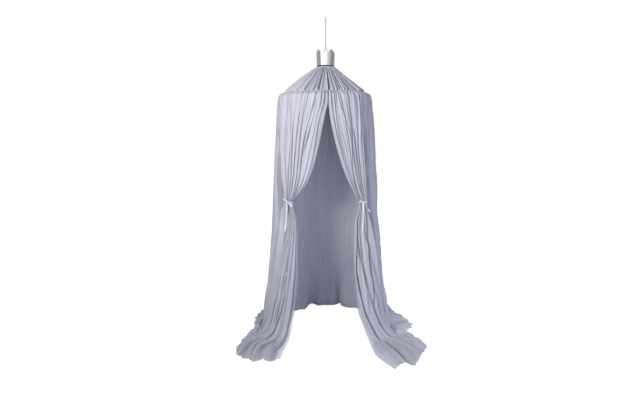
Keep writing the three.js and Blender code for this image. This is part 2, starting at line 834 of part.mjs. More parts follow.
// Moves a place near the front curtain's edge round towards the free-hanging cloth.
function drawnPlace(edge, gap, reach, angle, curtain) {
  const edge_reach = edge.length();
  const edge_angle = Math.atan2(Math.abs(edge.x), -edge.y) / degree + gap / edge_reach / degree;
  const far_angle = curtain.span_angle + side_draw_angle;
  const share = Math.min((Math.abs(angle) - curtain.span_angle) / side_draw_angle, 1);
  const turned_angle = share < 1 ? mix(edge_angle, far_angle, share) : Math.abs(angle);
  return plan(mix(edge_reach, reach, eased(share)), curtain.sign * turned_angle);
}

function sideThread(angle) {
  const curtain = angle < 0 ? curtains.left : curtains.right;
  const back_share = smooth((Math.abs(angle) - quarter_turn) / quarter_turn);
  const side_share = Math.sin(angle * degree);
  const gapAt = (height) => {
    const waist_share = Math.exp(-(((height - tie_height) / neck_reach) ** 2));
    return mix(height > tie_height ? seam_gap : tail_gap, waist_gap, waist_share);
  };
  const stations = shoulderThread(angle).map((point) => ({ point, fold: fold_rim, floor: 0 }));
  for (const height of hanging_heights) {
    const fallen = (shoulder_height - height) / shoulder_height;
    const reach = freeReach(height) - back_share * back_draw * fallen;
    const at = drawnPlace(edgeAt(curtain, height), gapAt(height), reach, angle, curtain);
    const fold = mix(fold_rim, fold_low, Math.sqrt(fallen));
    stations.push({ point: new THREE.Vector3(at.x, at.y, height), fold, floor: 0 });
  }
  floor_reaches.forEach((base_reach, order) => {
    const reach = base_reach - back_share * back_draw + (side_lean * side_share * order) / 2;
    const at = drawnPlace(floorEdge(curtain, order), tail_gap, reach, angle, curtain);
    stations.push({ point: new THREE.Vector3(at.x, at.y, cloth_thickness / 2), fold: fold_floor, floor: 1 });
  });
  return stations;
}

// A side or back panel is a thin folded skin; on the floor only its upper face is folded.
function makeSidePanel(name, from_angle, to_angle) {
  const arc = Math.abs(to_angle - from_angle) * degree * waist_reach;
  const folds = Math.round(arc / side_fold_pitch);
  const columns = folds * samples_per_fold;
  const gap_angle = seam_gap / 2 / tape_reach / degree;
  const threads = [];
  for (let j = 0; j <= columns; j += 1) {
    const angle = mix(from_angle + gap_angle, to_angle - gap_angle, j / columns);
    threads.push(sideThread(angle > half_turn ? angle - full_turn : angle));
  }
  const rows = threads[0].length;
  const grid = [];
  for (let i = 0; i < rows; i += 1) grid.push(threads.map((thread) => thread[i].point));
  const normals = outwardNormals(grid, 1);
  const front = [];
  const back = [];
  for (let i = 0; i < rows; i += 1) {
    const front_row = [];
    const back_row = [];
    for (let j = 0; j <= columns; j += 1) {
      const { point, fold, floor } = threads[j][i];
      const wave = j % samples_per_fold === 0 ? -fold / 2 : fold / 2;
      const lift = floor === 1 ? wave + fold / 2 : wave;
      const sink = floor === 1 ? 0 : wave;
      front_row.push(hang(point.clone().addScaledVector(normals[i][j], lift + cloth_thickness / 2)));
      back_row.push(hang(point.clone().addScaledVector(normals[i][j], sink - cloth_thickness / 2)));
    }
    front.push(front_row);
    back.push(back_row);
  }
  add(name, "voile", skin(front, back));
}

// Ribbon ties

function makeBand(name, curtain) {
  const centre = tieCentre(curtain);
  const side = across(curtain);
  const out = outward(curtain);
  const outer = [];
  const inner = [];
  for (const level of [tie_height - ribbon_width / 2, tie_height + ribbon_width / 2]) {
    const outer_row = [];
    const inner_row = [];
    for (let i = 0; i <= band_steps; i += 1) {
      const turn = (i / band_steps) * 2 * Math.PI;
      const ringPoint = (grow) => {
        const at = centre.clone()
          .addScaledVector(side, (waist_wide / 2 + grow) * Math.cos(turn))
          .addScaledVector(out, (waist_deep / 2 + grow) * Math.sin(turn));
        return new THREE.Vector3(at.x, at.y, fall(level));
      };
      inner_row.push(ringPoint(band_gap));
      outer_row.push(ringPoint(band_gap + ribbon_thickness));
    }
    outer.push(outer_row);
    inner.push(inner_row);
  }
  add(name, "satin", loopSkin(outer, inner));
}

// A bow: the knot in front of the band, a loop of ribbon to each side and two hanging ends.
function makeBow(side_name, curtain) {
  const centre = tieCentre(curtain);
  const out = outward(curtain);
  const side = new THREE.Vector2(-out.y, out.x);
  const knot_out = waist_deep / 2 + band_gap + ribbon_thickness + touch_gap + bow_knot_deep / 2;
  const place = (along, forward, height) => {
    const at = centre.clone().addScaledVector(side, along).addScaledVector(out, forward);
    return new THREE.Vector3(at.x, at.y, fall(height));
  };
  const knot_at = place(0, knot_out, tie_height);
  const facing = Math.atan2(side.y, side.x);
  const knot = ellipsoid(bow_knot_wide, bow_knot_deep, bow_knot_tall).rotateZ(facing);
  add(`bow_knot_${side_name}`, "satin", knot.translate(knot_at.x, knot_at.y, knot_at.z));

  curtain.loop_tilts.forEach((tilt, i) => {
    const loop = new THREE.Shape();
    const inner = new THREE.Path();
    loop.absellipse(bow_loop_long / 2, 0, bow_loop_long / 2, bow_loop_deep / 2, 0, 2 * Math.PI);
    inner.absellipse(
      bow_loop_long / 2, 0,
      bow_loop_long / 2 - ribbon_thickness, bow_loop_deep / 2 - ribbon_thickness, 0, 2 * Math.PI,
    );
    loop.holes.push(inner);
    const ribbon = new THREE.ExtrudeGeometry(loop, {
      depth: ribbon_width, bevelEnabled: false, curveSegments: loop_steps,
    });
    ribbon.translate(bow_knot_wide / 2 + touch_gap, 0, -ribbon_width / 2);
    ribbon.rotateZ(-bow_splay * degree).rotateY(-tilt * degree).rotateZ(facing);
    const name = `bow_loop_${side_name}_${i + 1}`;
    add(name, "satin", ribbon.translate(knot_at.x, knot_at.y, knot_at.z));
  });

  curtain.ribbon_ends.forEach(({ length, start_share, drift_share, curl_share }, i) => {
    const front = [];
    const back = [];
    const top = tie_height - bow_knot_tall / 2 - touch_gap;
    const layer = i * (ribbon_thickness + touch_gap);
    for (let row = 0; row <= ribbon_rows; row += 1) {
      const share = row / ribbon_rows;
      const forward = knot_out + layer + ribbon_lean * share;
      const aside_share = start_share + drift_share * share + curl_share * share ** 2;
      const height = top - length * share;
      const edge = (reach, sheet) => place(aside_share * ribbon_width + reach, forward + sheet, height);
      const half = ribbon_width / 2;
      front.push([edge(-half, ribbon_thickness / 2), edge(half, ribbon_thickness / 2)]);
      back.push([edge(-half, -ribbon_thickness / 2), edge(half, -ribbon_thickness / 2)]);
    }
    add(`ribbon_end_${side_name}_${i + 1}`, "satin", skin(front, back));
  });
}

makeHangingRing();
makeCordEye();
makeCord();
makeCrown();
makeCrownBase();
makeBridle();
makeHoop();
makeCone();
makeFrontCurtain("front_left_curtain", curtains.left);
makeFrontCurtain("front_right_curtain", curtains.right);
makeSidePanel("side_right_curtain", curtains.right.span_angle, panel_angle);
makeSidePanel("back_curtain", panel_angle, full_turn - panel_angle);
makeSidePanel("side_left_curtain", -panel_angle, -curtains.left.span_angle);
for (const [side_name, curtain] of Object.entries(curtains)) {
  makeBand(`tie_band_${side_name}`, curtain);
  makeBow(side_name, curtain);
}

export default canopy;
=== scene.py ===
# Hanging bed canopy with a small silver crown, dressed for the render. Metres and degrees, +Z up.
# The origin is where the hanging ring rests on its hook. The front of the canopy faces -Y.
# Heights are counted from the floor, and fall() turns them into the hanging frame.
# A share runs from 0 to 1: over a cloth from its inner to its outer edge, or from its top down.
# A span is where a change begins, and the length over which it comes about.

import math
from types import SimpleNamespace

import bpy
import numpy as np
from mathutils import Matrix, Vector


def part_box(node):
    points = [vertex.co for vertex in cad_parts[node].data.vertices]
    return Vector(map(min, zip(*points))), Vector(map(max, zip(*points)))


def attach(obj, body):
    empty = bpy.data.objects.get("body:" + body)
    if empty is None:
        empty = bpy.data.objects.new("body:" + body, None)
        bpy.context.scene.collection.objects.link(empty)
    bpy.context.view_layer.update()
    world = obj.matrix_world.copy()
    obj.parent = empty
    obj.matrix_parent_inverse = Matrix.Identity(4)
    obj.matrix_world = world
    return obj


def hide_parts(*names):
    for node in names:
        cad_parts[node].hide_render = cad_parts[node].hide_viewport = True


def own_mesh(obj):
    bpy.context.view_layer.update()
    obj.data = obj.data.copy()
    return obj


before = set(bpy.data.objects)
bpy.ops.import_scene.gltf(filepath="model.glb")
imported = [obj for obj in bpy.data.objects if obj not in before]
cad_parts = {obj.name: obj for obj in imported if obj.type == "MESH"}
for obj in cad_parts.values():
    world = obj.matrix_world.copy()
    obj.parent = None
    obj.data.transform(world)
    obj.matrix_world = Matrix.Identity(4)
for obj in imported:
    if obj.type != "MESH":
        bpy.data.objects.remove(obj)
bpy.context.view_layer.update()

degree = math.pi / 180
full_turn = 2 * math.pi

# Camera at the photograph's viewing angle
camera_place = (-0.034, -3.0, -0.642)
camera_tilt = 80.9
camera_lens = 26.66
camera_sensor, camera_sight = 36, 100

# Heights above the floor
hang_height = 1.980
bridle_height = 1.800
crown_height = 1.690
seam_height = 1.528
shoulder_height = 1.465
tie_height = 0.879
low_height = 0.186

# Gaps: between pieces that touch, at a sewn seam, between two curtains
touch_gap = 0.0003
sewn_gap = 0.00045
edge_gap = 0.0015

# Hanging ring, cord and bridle. The twist of a laid cord is in radians a metre
ring_bore = 0.012
ring_wire = 0.002
ring_steps = 64
cord_diameter = 0.005
cord_rows = 150
laid_cord = {"sides": 32, "strands": 8, "twist": 600, "strand_depth": 0.1}
eye_cord = 0.004
eye_bore = 0.004
knot_wide = 0.0084
knot_tall = 0.009
knot_rows, knot_columns = 28, 36
knot_strands = 3
leg_diameter = 0.0035
leg_rows = 90
leg_knot = 0.0064
leg_count = 3
leg_turn = 5

# Crown, the edging under it and the disc that closes it
crown_base_radius = 0.0535
crown_mouth_radius = 0.0575
crown_wall = 0.0015
crown_point_tall = 0.095
crown_valley_tall = 0.072
crown_points = 4
crown_turn = 37
crown_columns = 64
crown_soft_edge = 0.0005
point_half_angle = 29
band_tall = 0.006
band_lip = 0.007
band_wall = 0.002
band_sole = 0.0016
band_swell = 0.0003
band_soft_edge = 0.0008
band_columns = 128
disc_centre = 0.0005
disc_soft_edge = 0.0006
disc_columns = 96

# Hoop and the tape sewn round it
hoop_radius = 0.247
tape_radius = 0.0074
tape_girth = 0.046
tape_columns, tape_rows = 720, 20
tape_puckers = 90
pucker_depth = 0.0009

# Pleated cone. Pairs are its left and right, or its top and foot
cone_pleats = 46
cone_seed = 31
cone_columns = 16
cone_levels = (*np.linspace(0, 0.12, 8)[:-1], *np.linspace(0.12, 1, 72))
cone_foot = 0.2535
cone_bulges = (0.0065, -0.005)
cone_draw = 0.012
pleat_depths = (0.42, 0.28)
pleat_fullness = (1.1, 1.0)
pleat_grooves = (0.22, 0.125)
pleat_rest = 1.05
pleat_out, pleat_up = 0.62, 0.78
top_span, opened_span = (0, 0.1), (-0.012, 0.03)
foot_flattening, flattened_span = 0.75, (0.94, 0.05)
foot_crinkle, foot_crinkles, crinkled_span = 0.0005, 3.3, (0.82, 0.15)
foot_tuck, tucked_span = 0.006, (0.975, 0.025)

# Reach of the hanging cloth from the axis: at the tape, shoulder, ties, low down and at the floor
tape_reach = hoop_radius + tape_radius
shoulder_out, waist_out, low_out, touch_out = 0.0426, 0.036, 0.065, 0.027
shoulder_reach = tape_reach + shoulder_out
waist_reach = shoulder_reach + waist_out
low_reach = waist_reach + low_out
touch_reach = low_reach + touch_out
middle_flare, lower_flare = 1.3, 1.5

# Top of the hanging cloth: its sewn heading, and the shoulder's stations: shares out and down, depth
# of the folds there
heading_out = 0.0012
heading_drop = 0.0006
heading_depth = 0.0016
heading_zigzag, zigzag_rows = 0.0005, 3
shoulder_start = tape_reach + sewn_gap
shoulder_top = seam_height - tape_radius
shoulder_stations = (((0.14, -0.06), 0.003), ((0.50, 0.03), 0.0045), ((0.86, 0.30), 0.0055), ((1, 1), 0.0065))
gather_depth, gather_length = 0.0011, 0.035

# Folds: range of widths, of how deep a groove starts and how faint it may end, of where it changes,
# how far beside it a pressed crest stands, and how round a fold is
fold_widths = (0.45, 1.9)
groove_starts = (0.55, 1.0)
groove_ends = (0.05, 0.5)
groove_moments = (-0.2, 0.5)
groove_pace, groove_ripples = 1.5, (1.4, 0.37)
crest_beside = 1.6
fold_roundness = 0.16
least_fold = -1.2

# For each kind of fold the share of grooves that fade, how far they wander, how uneven the folds
# are, how high a crest stands, and how wide a groove is
cone_folds = {"fading": 0.2, "wander": 0.03, "spread": 0.4, "crest": 1.35}
swag_folds = {"fading": 0.2, "wander": 0.5, "spread": 0.35, "crest": 0.35}
tail_folds = {"fading": 0.35, "wander": 0.7, "spread": 0.35, "crest": 0.25}
side_folds = {"fading": 0.4, "wander": 0.6, "spread": 0.45, "crest": 0.0}
small_folds = {"fading": 0.5, "wander": 1.2, "spread": 0.35, "crest": 0.0}
swag_groove, tail_groove, front_small_groove = 0.16, 0.19, 0.25
side_groove, side_groove_growth, side_small_groove = 0.17, 0.05, 0.26

# Cloth on the floor: its rest height, folds, and the frill and thinness of its hem
cloth_rest = 0.0015
floor_fold_depth = 0.019
floor_fullness = 1.15
front_rumple, side_rumple = 0.002, 0.004
frill_depth, frill_length, frill_sway, frill_rows = 0.009, 0.05, (0.3, 17), 12
hem_thinness, hem_start, hem_length = 0.12, 0.03, 0.02
least_step = 0.002

# Front curtains: mesh, levels between shoulder and neck, and depths of the folds by level
front_rows, front_columns = 340, 22
front_levels = np.array([*np.linspace(0.1, 0.8, 8), 0.88, 0.94, 0.98])
part_angle = 2.3
tie_span = (-0.02, 0.04)
hang_depths = (0.0055, 0.0068)
hang_flattening, flattening_span = 0.55, (0.45, 0.4)
tie_depth = 0.0095
tail_depth = 0.013
hem_depth = 0.003
outer_pull, neck_rounding = 3.5, 5
swag_crowding = 0.8
tie_squeeze, squeeze_length = 0.02, 0.05
small_fold_count = 2.6
small_above, small_below, small_on_floor = 0.35, 0.15, 0.4
edge_crowding, crowding_share, crowding_span, crowding_end = 0.45, 0.4, (0.35, 0.5), (0, 0.08)
oval_share, waist_fill = 0.97, 0.94
hang_sink = 0.7
neck_relief, neck_folds = 0.52, 0.28
front_swing, front_swing_span, front_ripples = 0.004, (0, 0.2), (2.2, 3)
hem_roll, roll_power, roll_span = 0.012, 1.5, (0.06, 0.2)
hem_ridge, ridge_place, ridge_width = 0.0025, 1.25, 0.3
low_edge, low_edge_span = 0.2, (0, 0.09)
zigzags_a_gather = 1.7
edge_thinness, glow_span, waist_cover = 0.35, (0.3, 0.12), 0.6

# Side and back cloth: mesh, heights of the stations, depths of the folds, and its edges
side_rows, side_columns = 290, 24
side_fold_count = 24
side_small_fold_count = 2.4
side_zigzags = 240
side_gathers = 140
side_heights = np.array([*np.linspace(1.40, 0.94, 8), tie_height, *np.linspace(0.82, 0.2, 9),
                         0.13, 0.07, 0.03, 0.008])
side_depths = (0.0065, 0.010)
side_floor_depths = (0.012, 0.010, 0.004)
side_draw_angle = 40
side_sink = 0.75
side_fullness, fullness_span = 1.2, (0.05, 0.2)
side_small_share = 0.16
side_swing, side_swing_span, side_ripples = 0.003, (0, 0.4), (7, 1.2)
roll_ripples, rumple_ripples, hem_ripples = (13, 0.7), (22, 9), (9, 0)
side_seeds = {"folds": 303, "swing": 304, "rumple": 305, "roll": 306, "small": 307, "hem": 78}
near_floor_height = 0.32
lying_height, lying_share = 0.04, 0.5
back_draw = 0.028
back_calm, calm_span, calm_folds, calm_sink = 0.75, (0, 0.3), 0.6, 0.2
edge_tucks = (0.014, 0.022)
floor_tuck, floor_under = 0.004, 0.03
contact_step = 0.016
hem_teeth, hem_tooth, hem_drift, teeth_sway = 24, 0.020, 0.008, (0.4, 31)

# The side cloth's pocket beside each tied curtain: how far round, how deep left and right, from
# which level and up to which
pocket_end = 0.46
pocket_depths = (0.07, 0.03)
pocket_begin_span, pocket_end_span = (0.07, 0.14), (0.42, 0.1)

# The right side of the cloth: how far it is drawn in down its length, and at its top corner
right_span = (0.12, 0.15)
right_draw, draw_top, draw_length, draw_foot_span = 0.009, 1.54, 0.08, (0.9, 0.3)
right_corner, corner_height, corner_length = 0.008, 1.508, 0.028

# See-through cloth beside the left curtain, painted light: the white shows through it so it looks lit. Its
# angle and width, how see-through, and from which level it is whole
lit_angle, lit_width, painted_light_sheer, lit_end, lit_fading = -88, 16, 0.5, 0.34, 0.14

# Where the side and back cloth meets the floor and where its hem lies: angle from the front, reach
# as a share of touch_reach
contact_shares = {
    "left": (
        (60, 1.0), (115, 0.97), (136, 0.80), (150, 0.73), (158, 0.79), (166, 0.92), (172, 0.84), (180, 0.83),
    ),
    "right": (
        (40, 1.0), (115, 1.0), (130, 0.95), (144, 0.88), (153, 0.83), (159, 0.87), (164, 1.04), (169, 0.86),
        (180, 0.83),
    ),
}
hem_shares = {
    "left": ((80, 1.16), (91, 1.15), (106, 1.21), (122, 1.25), (150, 1.17), (180, 1.15)),
    "right": ((80, 1.27), (90, 1.43), (104, 1.39), (112, 1.33), (126, 1.42), (150, 1.2), (180, 1.15)),
}

# Ribbon ties
waist_wide = 0.050
waist_deep = 0.036
waist_band = 0.018
ribbon_width = 0.012
ribbon_thickness = 0.001
ribbon_lean = 0.018
ribbon_long = 0.172
ribbon_short = 0.048
ribbon_rows, ribbon_columns = 60, 7
ribbon_swing = 0.0035
ribbon_cup = 0.0008
ribbon_slant = 0.035
band_gap = 0.001
band_turns, band_rows = 96, 9
band_ease = 0.06
band_width_share, band_width_change = 0.36, 0.06
band_crease, band_ripple, band_wave = 0.0004, 0.0005, 0.001
knot_across = 0.011
knot_down = 0.010
knot_deep = 0.008
bow_knot_rows, bow_knot_columns = 26, 32
loop_rows, loop_columns = 49, 9
bow_loop_long = 0.030
bow_loop_deep = 0.010
bow_loop_root = 0.002
bow_splay = 24
loop_cup, loop_pleat = 0.0009, 0.0006
band_thickness, loop_thickness, end_thickness = (ribbon_thickness * share for share in (0.8, 0.6, 0.5))

# The front curtains. Places to the side and forward are shares of shoulder_reach.
# span: how far it goes round the rim. waist_share: its width in the tie. inner_pull: share and power
# of the pull on its inner edge. fold_depths: at its inner and outer edge. gathers, frill: how many.
# ribbon_ends: length, start, drift and curl. tail_shares: height as a share of the tie's, inner and
# outer edge, bulge, how floor-bound. hem_corners: its hem on the floor, from the inner edge outwards
curtains = {
    "left": SimpleNamespace(
        sign=-1, span=63, waist_turn=20, waist_share=0.80, tie_shares=(0.726, 0.673),
        inner_pull=((0.58, 1), (0.42, 6)), folds=13, tail_folds=9, fold_depths=(1.1, 1.6),
        fan=1.05, gathers=36, hem_share=0.05, edge_glow=0.5, frill=22, seed=101,
        loop_tilts=(131, -27), loop_shares=(1.0, 1.25), ribbon_twist=0.35,
        ribbon_ends=((ribbon_long, -0.58, -0.17, -0.5), (ribbon_short, -0.75, -1.7, -0.33)),
        tail_shares=(
            (0.853, (0.58, 0.73), (0.765, 0.58), 0.03, 0),
            (0.592, (0.566, 0.79), (0.90, 0.52), 0.06, 0),
            (0.341, (0.60, 0.80), (1.08, 0.44), 0.1, 0),
            (0.216, (0.645, 0.78), (1.19, 0.40), 0.11, 0),
            (0.125, (0.70, 0.78), (1.235, 0.38), 0.13, 0.1),
            (0.057, (0.735, 0.84), (1.29, 0.365), 0.17, 0.35),
            (0.017, (0.785, 0.95), (1.36, 0.35), 0.24, 0.7),
            (0, (0.81, 1.05), (1.42, 0.33), 0.32, 1),
            (0, (0.845, 1.25), (1.5, 0.28), 0.42, 1),
        ),
        hem_corners=(
            (0.88, 1.50), (1.04, 1.62), (1.15, 1.63), (1.20, 1.54), (1.40, 1.64), (1.50, 1.53), (1.62, 1.54),
            (1.67, 1.40), (1.77, 1.36), (1.82, 1.05), (1.76, 0.88), (1.76, 0.67), (1.69, 0.49), (1.63, 0.36),
            (1.58, 0.20),
        ),
    ),
    "right": SimpleNamespace(
        sign=1, span=45, waist_turn=-6, waist_share=0.94, tie_shares=(0.753, 0.673),
        inner_pull=((0.85, 1.45), (0.15, 8)), folds=10, tail_folds=7, fold_depths=(1.15, 1.2),
        fan=0.85, gathers=26, hem_share=0.055, edge_glow=0.2, frill=20, seed=202,
        loop_tilts=(135, 15), loop_shares=(0.62, 0.62), ribbon_twist=0.8,
        ribbon_ends=((ribbon_long, 0.17, 0.17, -0.33), (ribbon_short, 0.5, 2.8, 0.5)),
        tail_shares=(
            (0.853, (0.59, 0.73), (0.92, 0.56), 0.03, 0),
            (0.592, (0.58, 0.79), (1.08, 0.5), 0.06, 0),
            (0.341, (0.635, 0.80), (1.19, 0.42), 0.12, 0),
            (0.216, (0.675, 0.78), (1.24, 0.39), 0.15, 0),
            (0.125, (0.77, 0.77), (1.285, 0.37), 0.18, 0.1),
            (0.057, (0.855, 0.82), (1.33, 0.36), 0.22, 0.35),
            (0.017, (0.91, 0.92), (1.38, 0.36), 0.28, 0.7),
            (0, (0.93, 1.05), (1.44, 0.35), 0.34, 1),
            (0, (0.975, 1.38), (1.56, 0.32), 0.48, 1),
        ),
        hem_corners=(
            (1.27, 1.91), (1.39, 1.78), (1.48, 1.69), (1.67, 1.81), (1.77, 1.62), (1.94, 1.25), (2.08, 1.03),
            (2.05, 0.88), (2.00, 0.66), (1.85, 0.62), (1.92, 0.49), (1.80, 0.27),
        ),
    ),
}

# Materials with one grain, by slot: name, stretch of the grain, its scale and detail, two stops of its
# colour, strength and depth of its bump, and the surface. A pair as roughness: grain's share, least
grained_materials = {
    "satin": ("satin_ribbon", (90, 90, 900), 1.0, 2.0, (0.25, (0.72, 0.72, 0.76)), (0.7, (0.92, 0.92, 0.95)),
              (0.18, 0.0005), {"Roughness": 0.34, "Sheen Weight": 0.4, "Sheen Roughness": 0.3}),
    "steel": ("plain_steel_wire", None, 700, 3.0, (0.3, (0.36, 0.36, 0.37)), (0.7, (0.58, 0.58, 0.59)),
              (0.1, 0.0002), {"Roughness": (0.2, 0.22), "Metallic": 1.0}),
    # The crown's edging is near black: a thin ring whose dark tone is painted shade for the gap under the
    # crown
    "dark_band": ("painted_shade_edging", None, 380, 3.0, (0.3, (0.07, 0.07, 0.075)), (0.75, (0.13, 0.13, 0.14)),
                  (0.05, 0.0003), {"Roughness": 0.16, "Metallic": 1.0}),
    "board": ("white_board", None, 260, 3.0, (0.3, (0.62, 0.62, 0.64)), (0.75, (0.74, 0.74, 0.76)),
              (0.15, 0.0004), {"Roughness": 0.7}),
    "cord": ("cotton_cord", (900, 900, 260), 1.0, 3.0, (0.25, (0.35, 0.345, 0.33)),
             (0.75, (0.47, 0.465, 0.45)), (0.4, 0.0004), {"Roughness": 0.85, "Sheen Weight": 0.2}),
}

# Voile: its two tones, its least and full cover, threads a metre, and stretches of streaks and slubs
voile_tones = ((0.3, (0.50, 0.50, 0.545)), (0.7, (0.605, 0.605, 0.65)))
voile_least, voile_full, voile_patches = 0.5, 1.0, 0.16
voile_threads = 520
streak_stretch, cloud_stretch, slub_stretch = (150, 1.2, 1), (14, 1.6, 1), (600, 25, 1)
streak_share, cloud_share, slub_share = 0.3, 0.7, 0.7
voile_bump = (0.25, 0.0004)
voile_surface = {"Roughness": 0.8, "Sheen Weight": 0.35, "Sheen Roughness": 0.45,
                 "Sheen Tint": (0.94, 0.94, 1.0, 1), "Specular IOR Level": 0.25}

# Silver: its two tones, stretch of the brushing, scale of the clouding, and roughness from both
silver_tones = ((0.3, (0.50, 0.50, 0.50)), (0.75, (0.66, 0.66, 0.67)))
brush_stretch, silver_clouds = (30, 30, 900), 45
silver_roughness, silver_unevenness = 0.08, 0.06
silver_bump = (0.015, 0.0002)

# Floor: half its side, how far it lies under the cloth, its tones and its glow for the camera
floor_half = 9.0
floor_under_cloth = 0.0006
floor_tones = ((0.2, (0.74, 0.76, 0.9)), (0.8, (0.78, 0.8, 0.94)))
floor_glow = 0.86

# Surroundings: grey of the studio walls by direction, for shiny things, and soft light on the rest
studio_walls = (
    (-180, 0.30), (-75, 0.24), (-66, 0.24), (-62, 1.0), (2, 1.0), (14, 0.62), (60, 0.33), (98, 0.15),
    (120, 0.22), (180, 0.30),
)
wall_light = 2.2
soft_colour = (0.76, 0.79, 1.0, 1)
soft_behind, soft_before = 0.04, 0.66
white = (1, 1, 1, 1)

# Lights: place, target, size, watts, colour, spread
lights = {
    "key": ((-1.4, -2.25, -0.2), (-0.06, 0, -0.52), (0.9, 0.9), 15.5, (1.0, 0.985, 0.92), 95),
    "fill": ((1.6, -2.3, -1.35), (0.2, 0, -1.45), (0.9, 0.9), 9, (0.93, 0.95, 1.0), 140),
    "low": ((1.25, 0.25, -1.1), (0.52, 0.03, -1.97), (0.4, 0.4), 0.42, (0.93, 0.95, 1.0), 50),
    "inside": ((-0.03, -0.17, -1.2), (-0.03, 0.3, -1.22), (0.22, 1.2), 0.37, (0.74, 0.78, 1.0), 110),
}


def fall(height):
    return height - hang_height


def mix(low, high, share):
    return low + (high - low) * share


def smooth(share):
    held = np.clip(share, 0, 1)
    return held * held * (3 - 2 * held)


def rise(value, start, length):
    """Goes smoothly from 0 at the start to 1 a length further on."""
    return smooth((value - start) / length)


def hump(value, centre, width):
    """1 at the centre, and soon 0 on both sides of it."""
    return np.exp(-(((value - centre) / width) ** 2))


def eased(share):
    return 1 - (1 - np.clip(share, 0, 1)) ** 2


def plan(reach, angle):
    """A point on a circle round the canopy's axis. Angle 0 is the front, positive to +X."""
    return np.stack([reach * np.sin(angle * degree), -reach * np.cos(angle * degree)], -1)


def on_side(sign, place):
    """A place given to the side and forward, on the left or right side of the canopy."""
    return np.array([sign * place[0], -place[1]])


def raised(flat, height):
    """Points in space from points in plan and their heights."""
    return np.concatenate([flat, height[..., None]], -1)


def round_turn(steps):
    return np.linspace(0, full_turn, steps, endpoint=False)


def run_along(points):
    """How far along a line of points each of them lies."""
    return np.concatenate([[0], np.cumsum(np.linalg.norm(np.diff(points, axis=0), axis=1))])


# Meshes from grids of points


def grid_mesh(name, grid, wrap, flip=False, cloth_uv=None, sheer=None):
    """A smooth mesh on a grid of points, rows by columns, with cloth coordinates in metres."""
    rows, columns = grid.shape[:2]
    index = np.arange(rows * columns).reshape(rows, columns)
    if wrap:
        index = np.hstack([index, index[:, :1]])
    corners = [index[:-1, :-1], index[:-1, 1:], index[1:, 1:], index[1:, :-1]]
    if flip:
        corners.reverse()
    faces = np.stack(corners, -1).reshape(-1, 4).astype(np.int32)
    mesh = bpy.data.meshes.new(name)
    mesh.vertices.add(rows * columns)
    mesh.vertices.foreach_set("co", grid.reshape(-1).astype(np.float32))
    mesh.loops.add(faces.size)
    mesh.loops.foreach_set("vertex_index", faces.reshape(-1))
    mesh.polygons.add(len(faces))
    mesh.polygons.foreach_set("loop_start", np.arange(0, faces.size, 4, dtype=np.int32))
    mesh.polygons.foreach_set("use_smooth", np.ones(len(faces), bool))
    if cloth_uv is not None:
        layer = mesh.uv_layers.new(name="cloth")
        corner_uv = cloth_uv.reshape(-1, 2)[faces.reshape(-1)]
        layer.data.foreach_set("uv", corner_uv.reshape(-1).astype(np.float32))
    mesh.update(calc_edges=True)
    mesh.validate()
    if sheer is not None:
        attribute = mesh.attributes.new("sheer", "FLOAT", "POINT")
        attribute.data.foreach_set("value", sheer.reshape(-1).astype(np.float32))
    return mesh


def add_piece(name, grid, slot, body, *nodes, wrap=True, **mesh_settings):
    """Adds a piece, gives it its material and body, and lets it stand for solids of the frame."""
    piece = bpy.data.objects.new(name, grid_mesh(name, grid, wrap, **mesh_settings))
    bpy.context.scene.collection.objects.link(piece)
    piece.data.materials.append(materials[slot])
    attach(piece, body)
    if nodes:
        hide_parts(*nodes)
    return piece


def ring_grid(radii_heights, steps):
    """Points turned round the Z axis from (radius, height) pairs."""
    turn = round_turn(steps)
    return np.array([np.stack([r * np.cos(turn), r * np.sin(turn), np.full(steps, z)], -1)
                     for r, z in radii_heights])


def tube(path, radius, sides=12, strands=0, twist=0, strand_depth=0, closed=False):
    """Points of a tube along a path. Strands and twist make it a laid cord."""
    path = np.asarray(path, float)
    if closed:
        along = np.roll(path, -1, 0) - np.roll(path, 1, 0)
    else:
        along = np.gradient(path, axis=0)
    along /= np.linalg.norm(along, axis=1, keepdims=True)
    side = np.cross(along[0], (0.31, 0.87, 0.38))
    side /= np.linalg.norm(side)
    turns = round_turn(sides)
    run = run_along(path)
    rings = []
    for i, place in enumerate(path):
        side = side - along[i] * side.dot(along[i])
        side /= np.linalg.norm(side)
        other = np.cross(along[i], side)
        groove = np.abs(np.sin(strands / 2 * (turns + twist * run[i]))) ** 3
        reach = radius * (1 - strand_depth * groove)
        spokes = np.outer(np.cos(turns), side) + np.outer(np.sin(turns), other)
        rings.append(place + reach[:, None] * spokes)
    if closed:
        rings.append(rings[0])
    else:
        rings.insert(0, np.repeat(path[:1], sides, 0))
        rings.append(np.repeat(path[-1:], sides, 0))
    return np.array(rings)


def pchip(knots, values, at):
    """A smooth curve through values, one row per knot, that doesn't overshoot them."""
    knots = np.asarray(knots, float)
    values = np.asarray(values, float)

    def column(numbers):
        return numbers.reshape((-1,) + (1,) * (values.ndim - 1))

    steps = column(np.diff(knots))
    slopes = np.diff(values, axis=0) / steps
    tangents = np.zeros_like(values)
    before, after = slopes[:-1], slopes[1:]
    w1 = 2 * steps[1:] + steps[:-1]
    w2 = steps[1:] + 2 * steps[:-1]
    with np.errstate(divide="ignore", invalid="ignore"):
        mean = (w1 + w2) / (w1 / before + w2 / after)
    tangents[1:-1] = np.where(before * after > 0, mean, 0)
    tangents[0], tangents[-1] = slopes[0], slopes[-1]
    cell = np.clip(np.searchsorted(knots, at, side="right") - 1, 0, len(knots) - 2)
    share = column((at - knots[cell]) / (knots[cell + 1] - knots[cell]))
    step = steps[cell]
    s2, s3 = share**2, share**3
    return (
        (2 * s3 - 3 * s2 + 1) * values[cell]
        + (s3 - 2 * s2 + share) * step * tangents[cell]
        + (3 * s2 - 2 * s3) * values[cell + 1]
        + (s3 - s2) * step * tangents[cell + 1]
    )


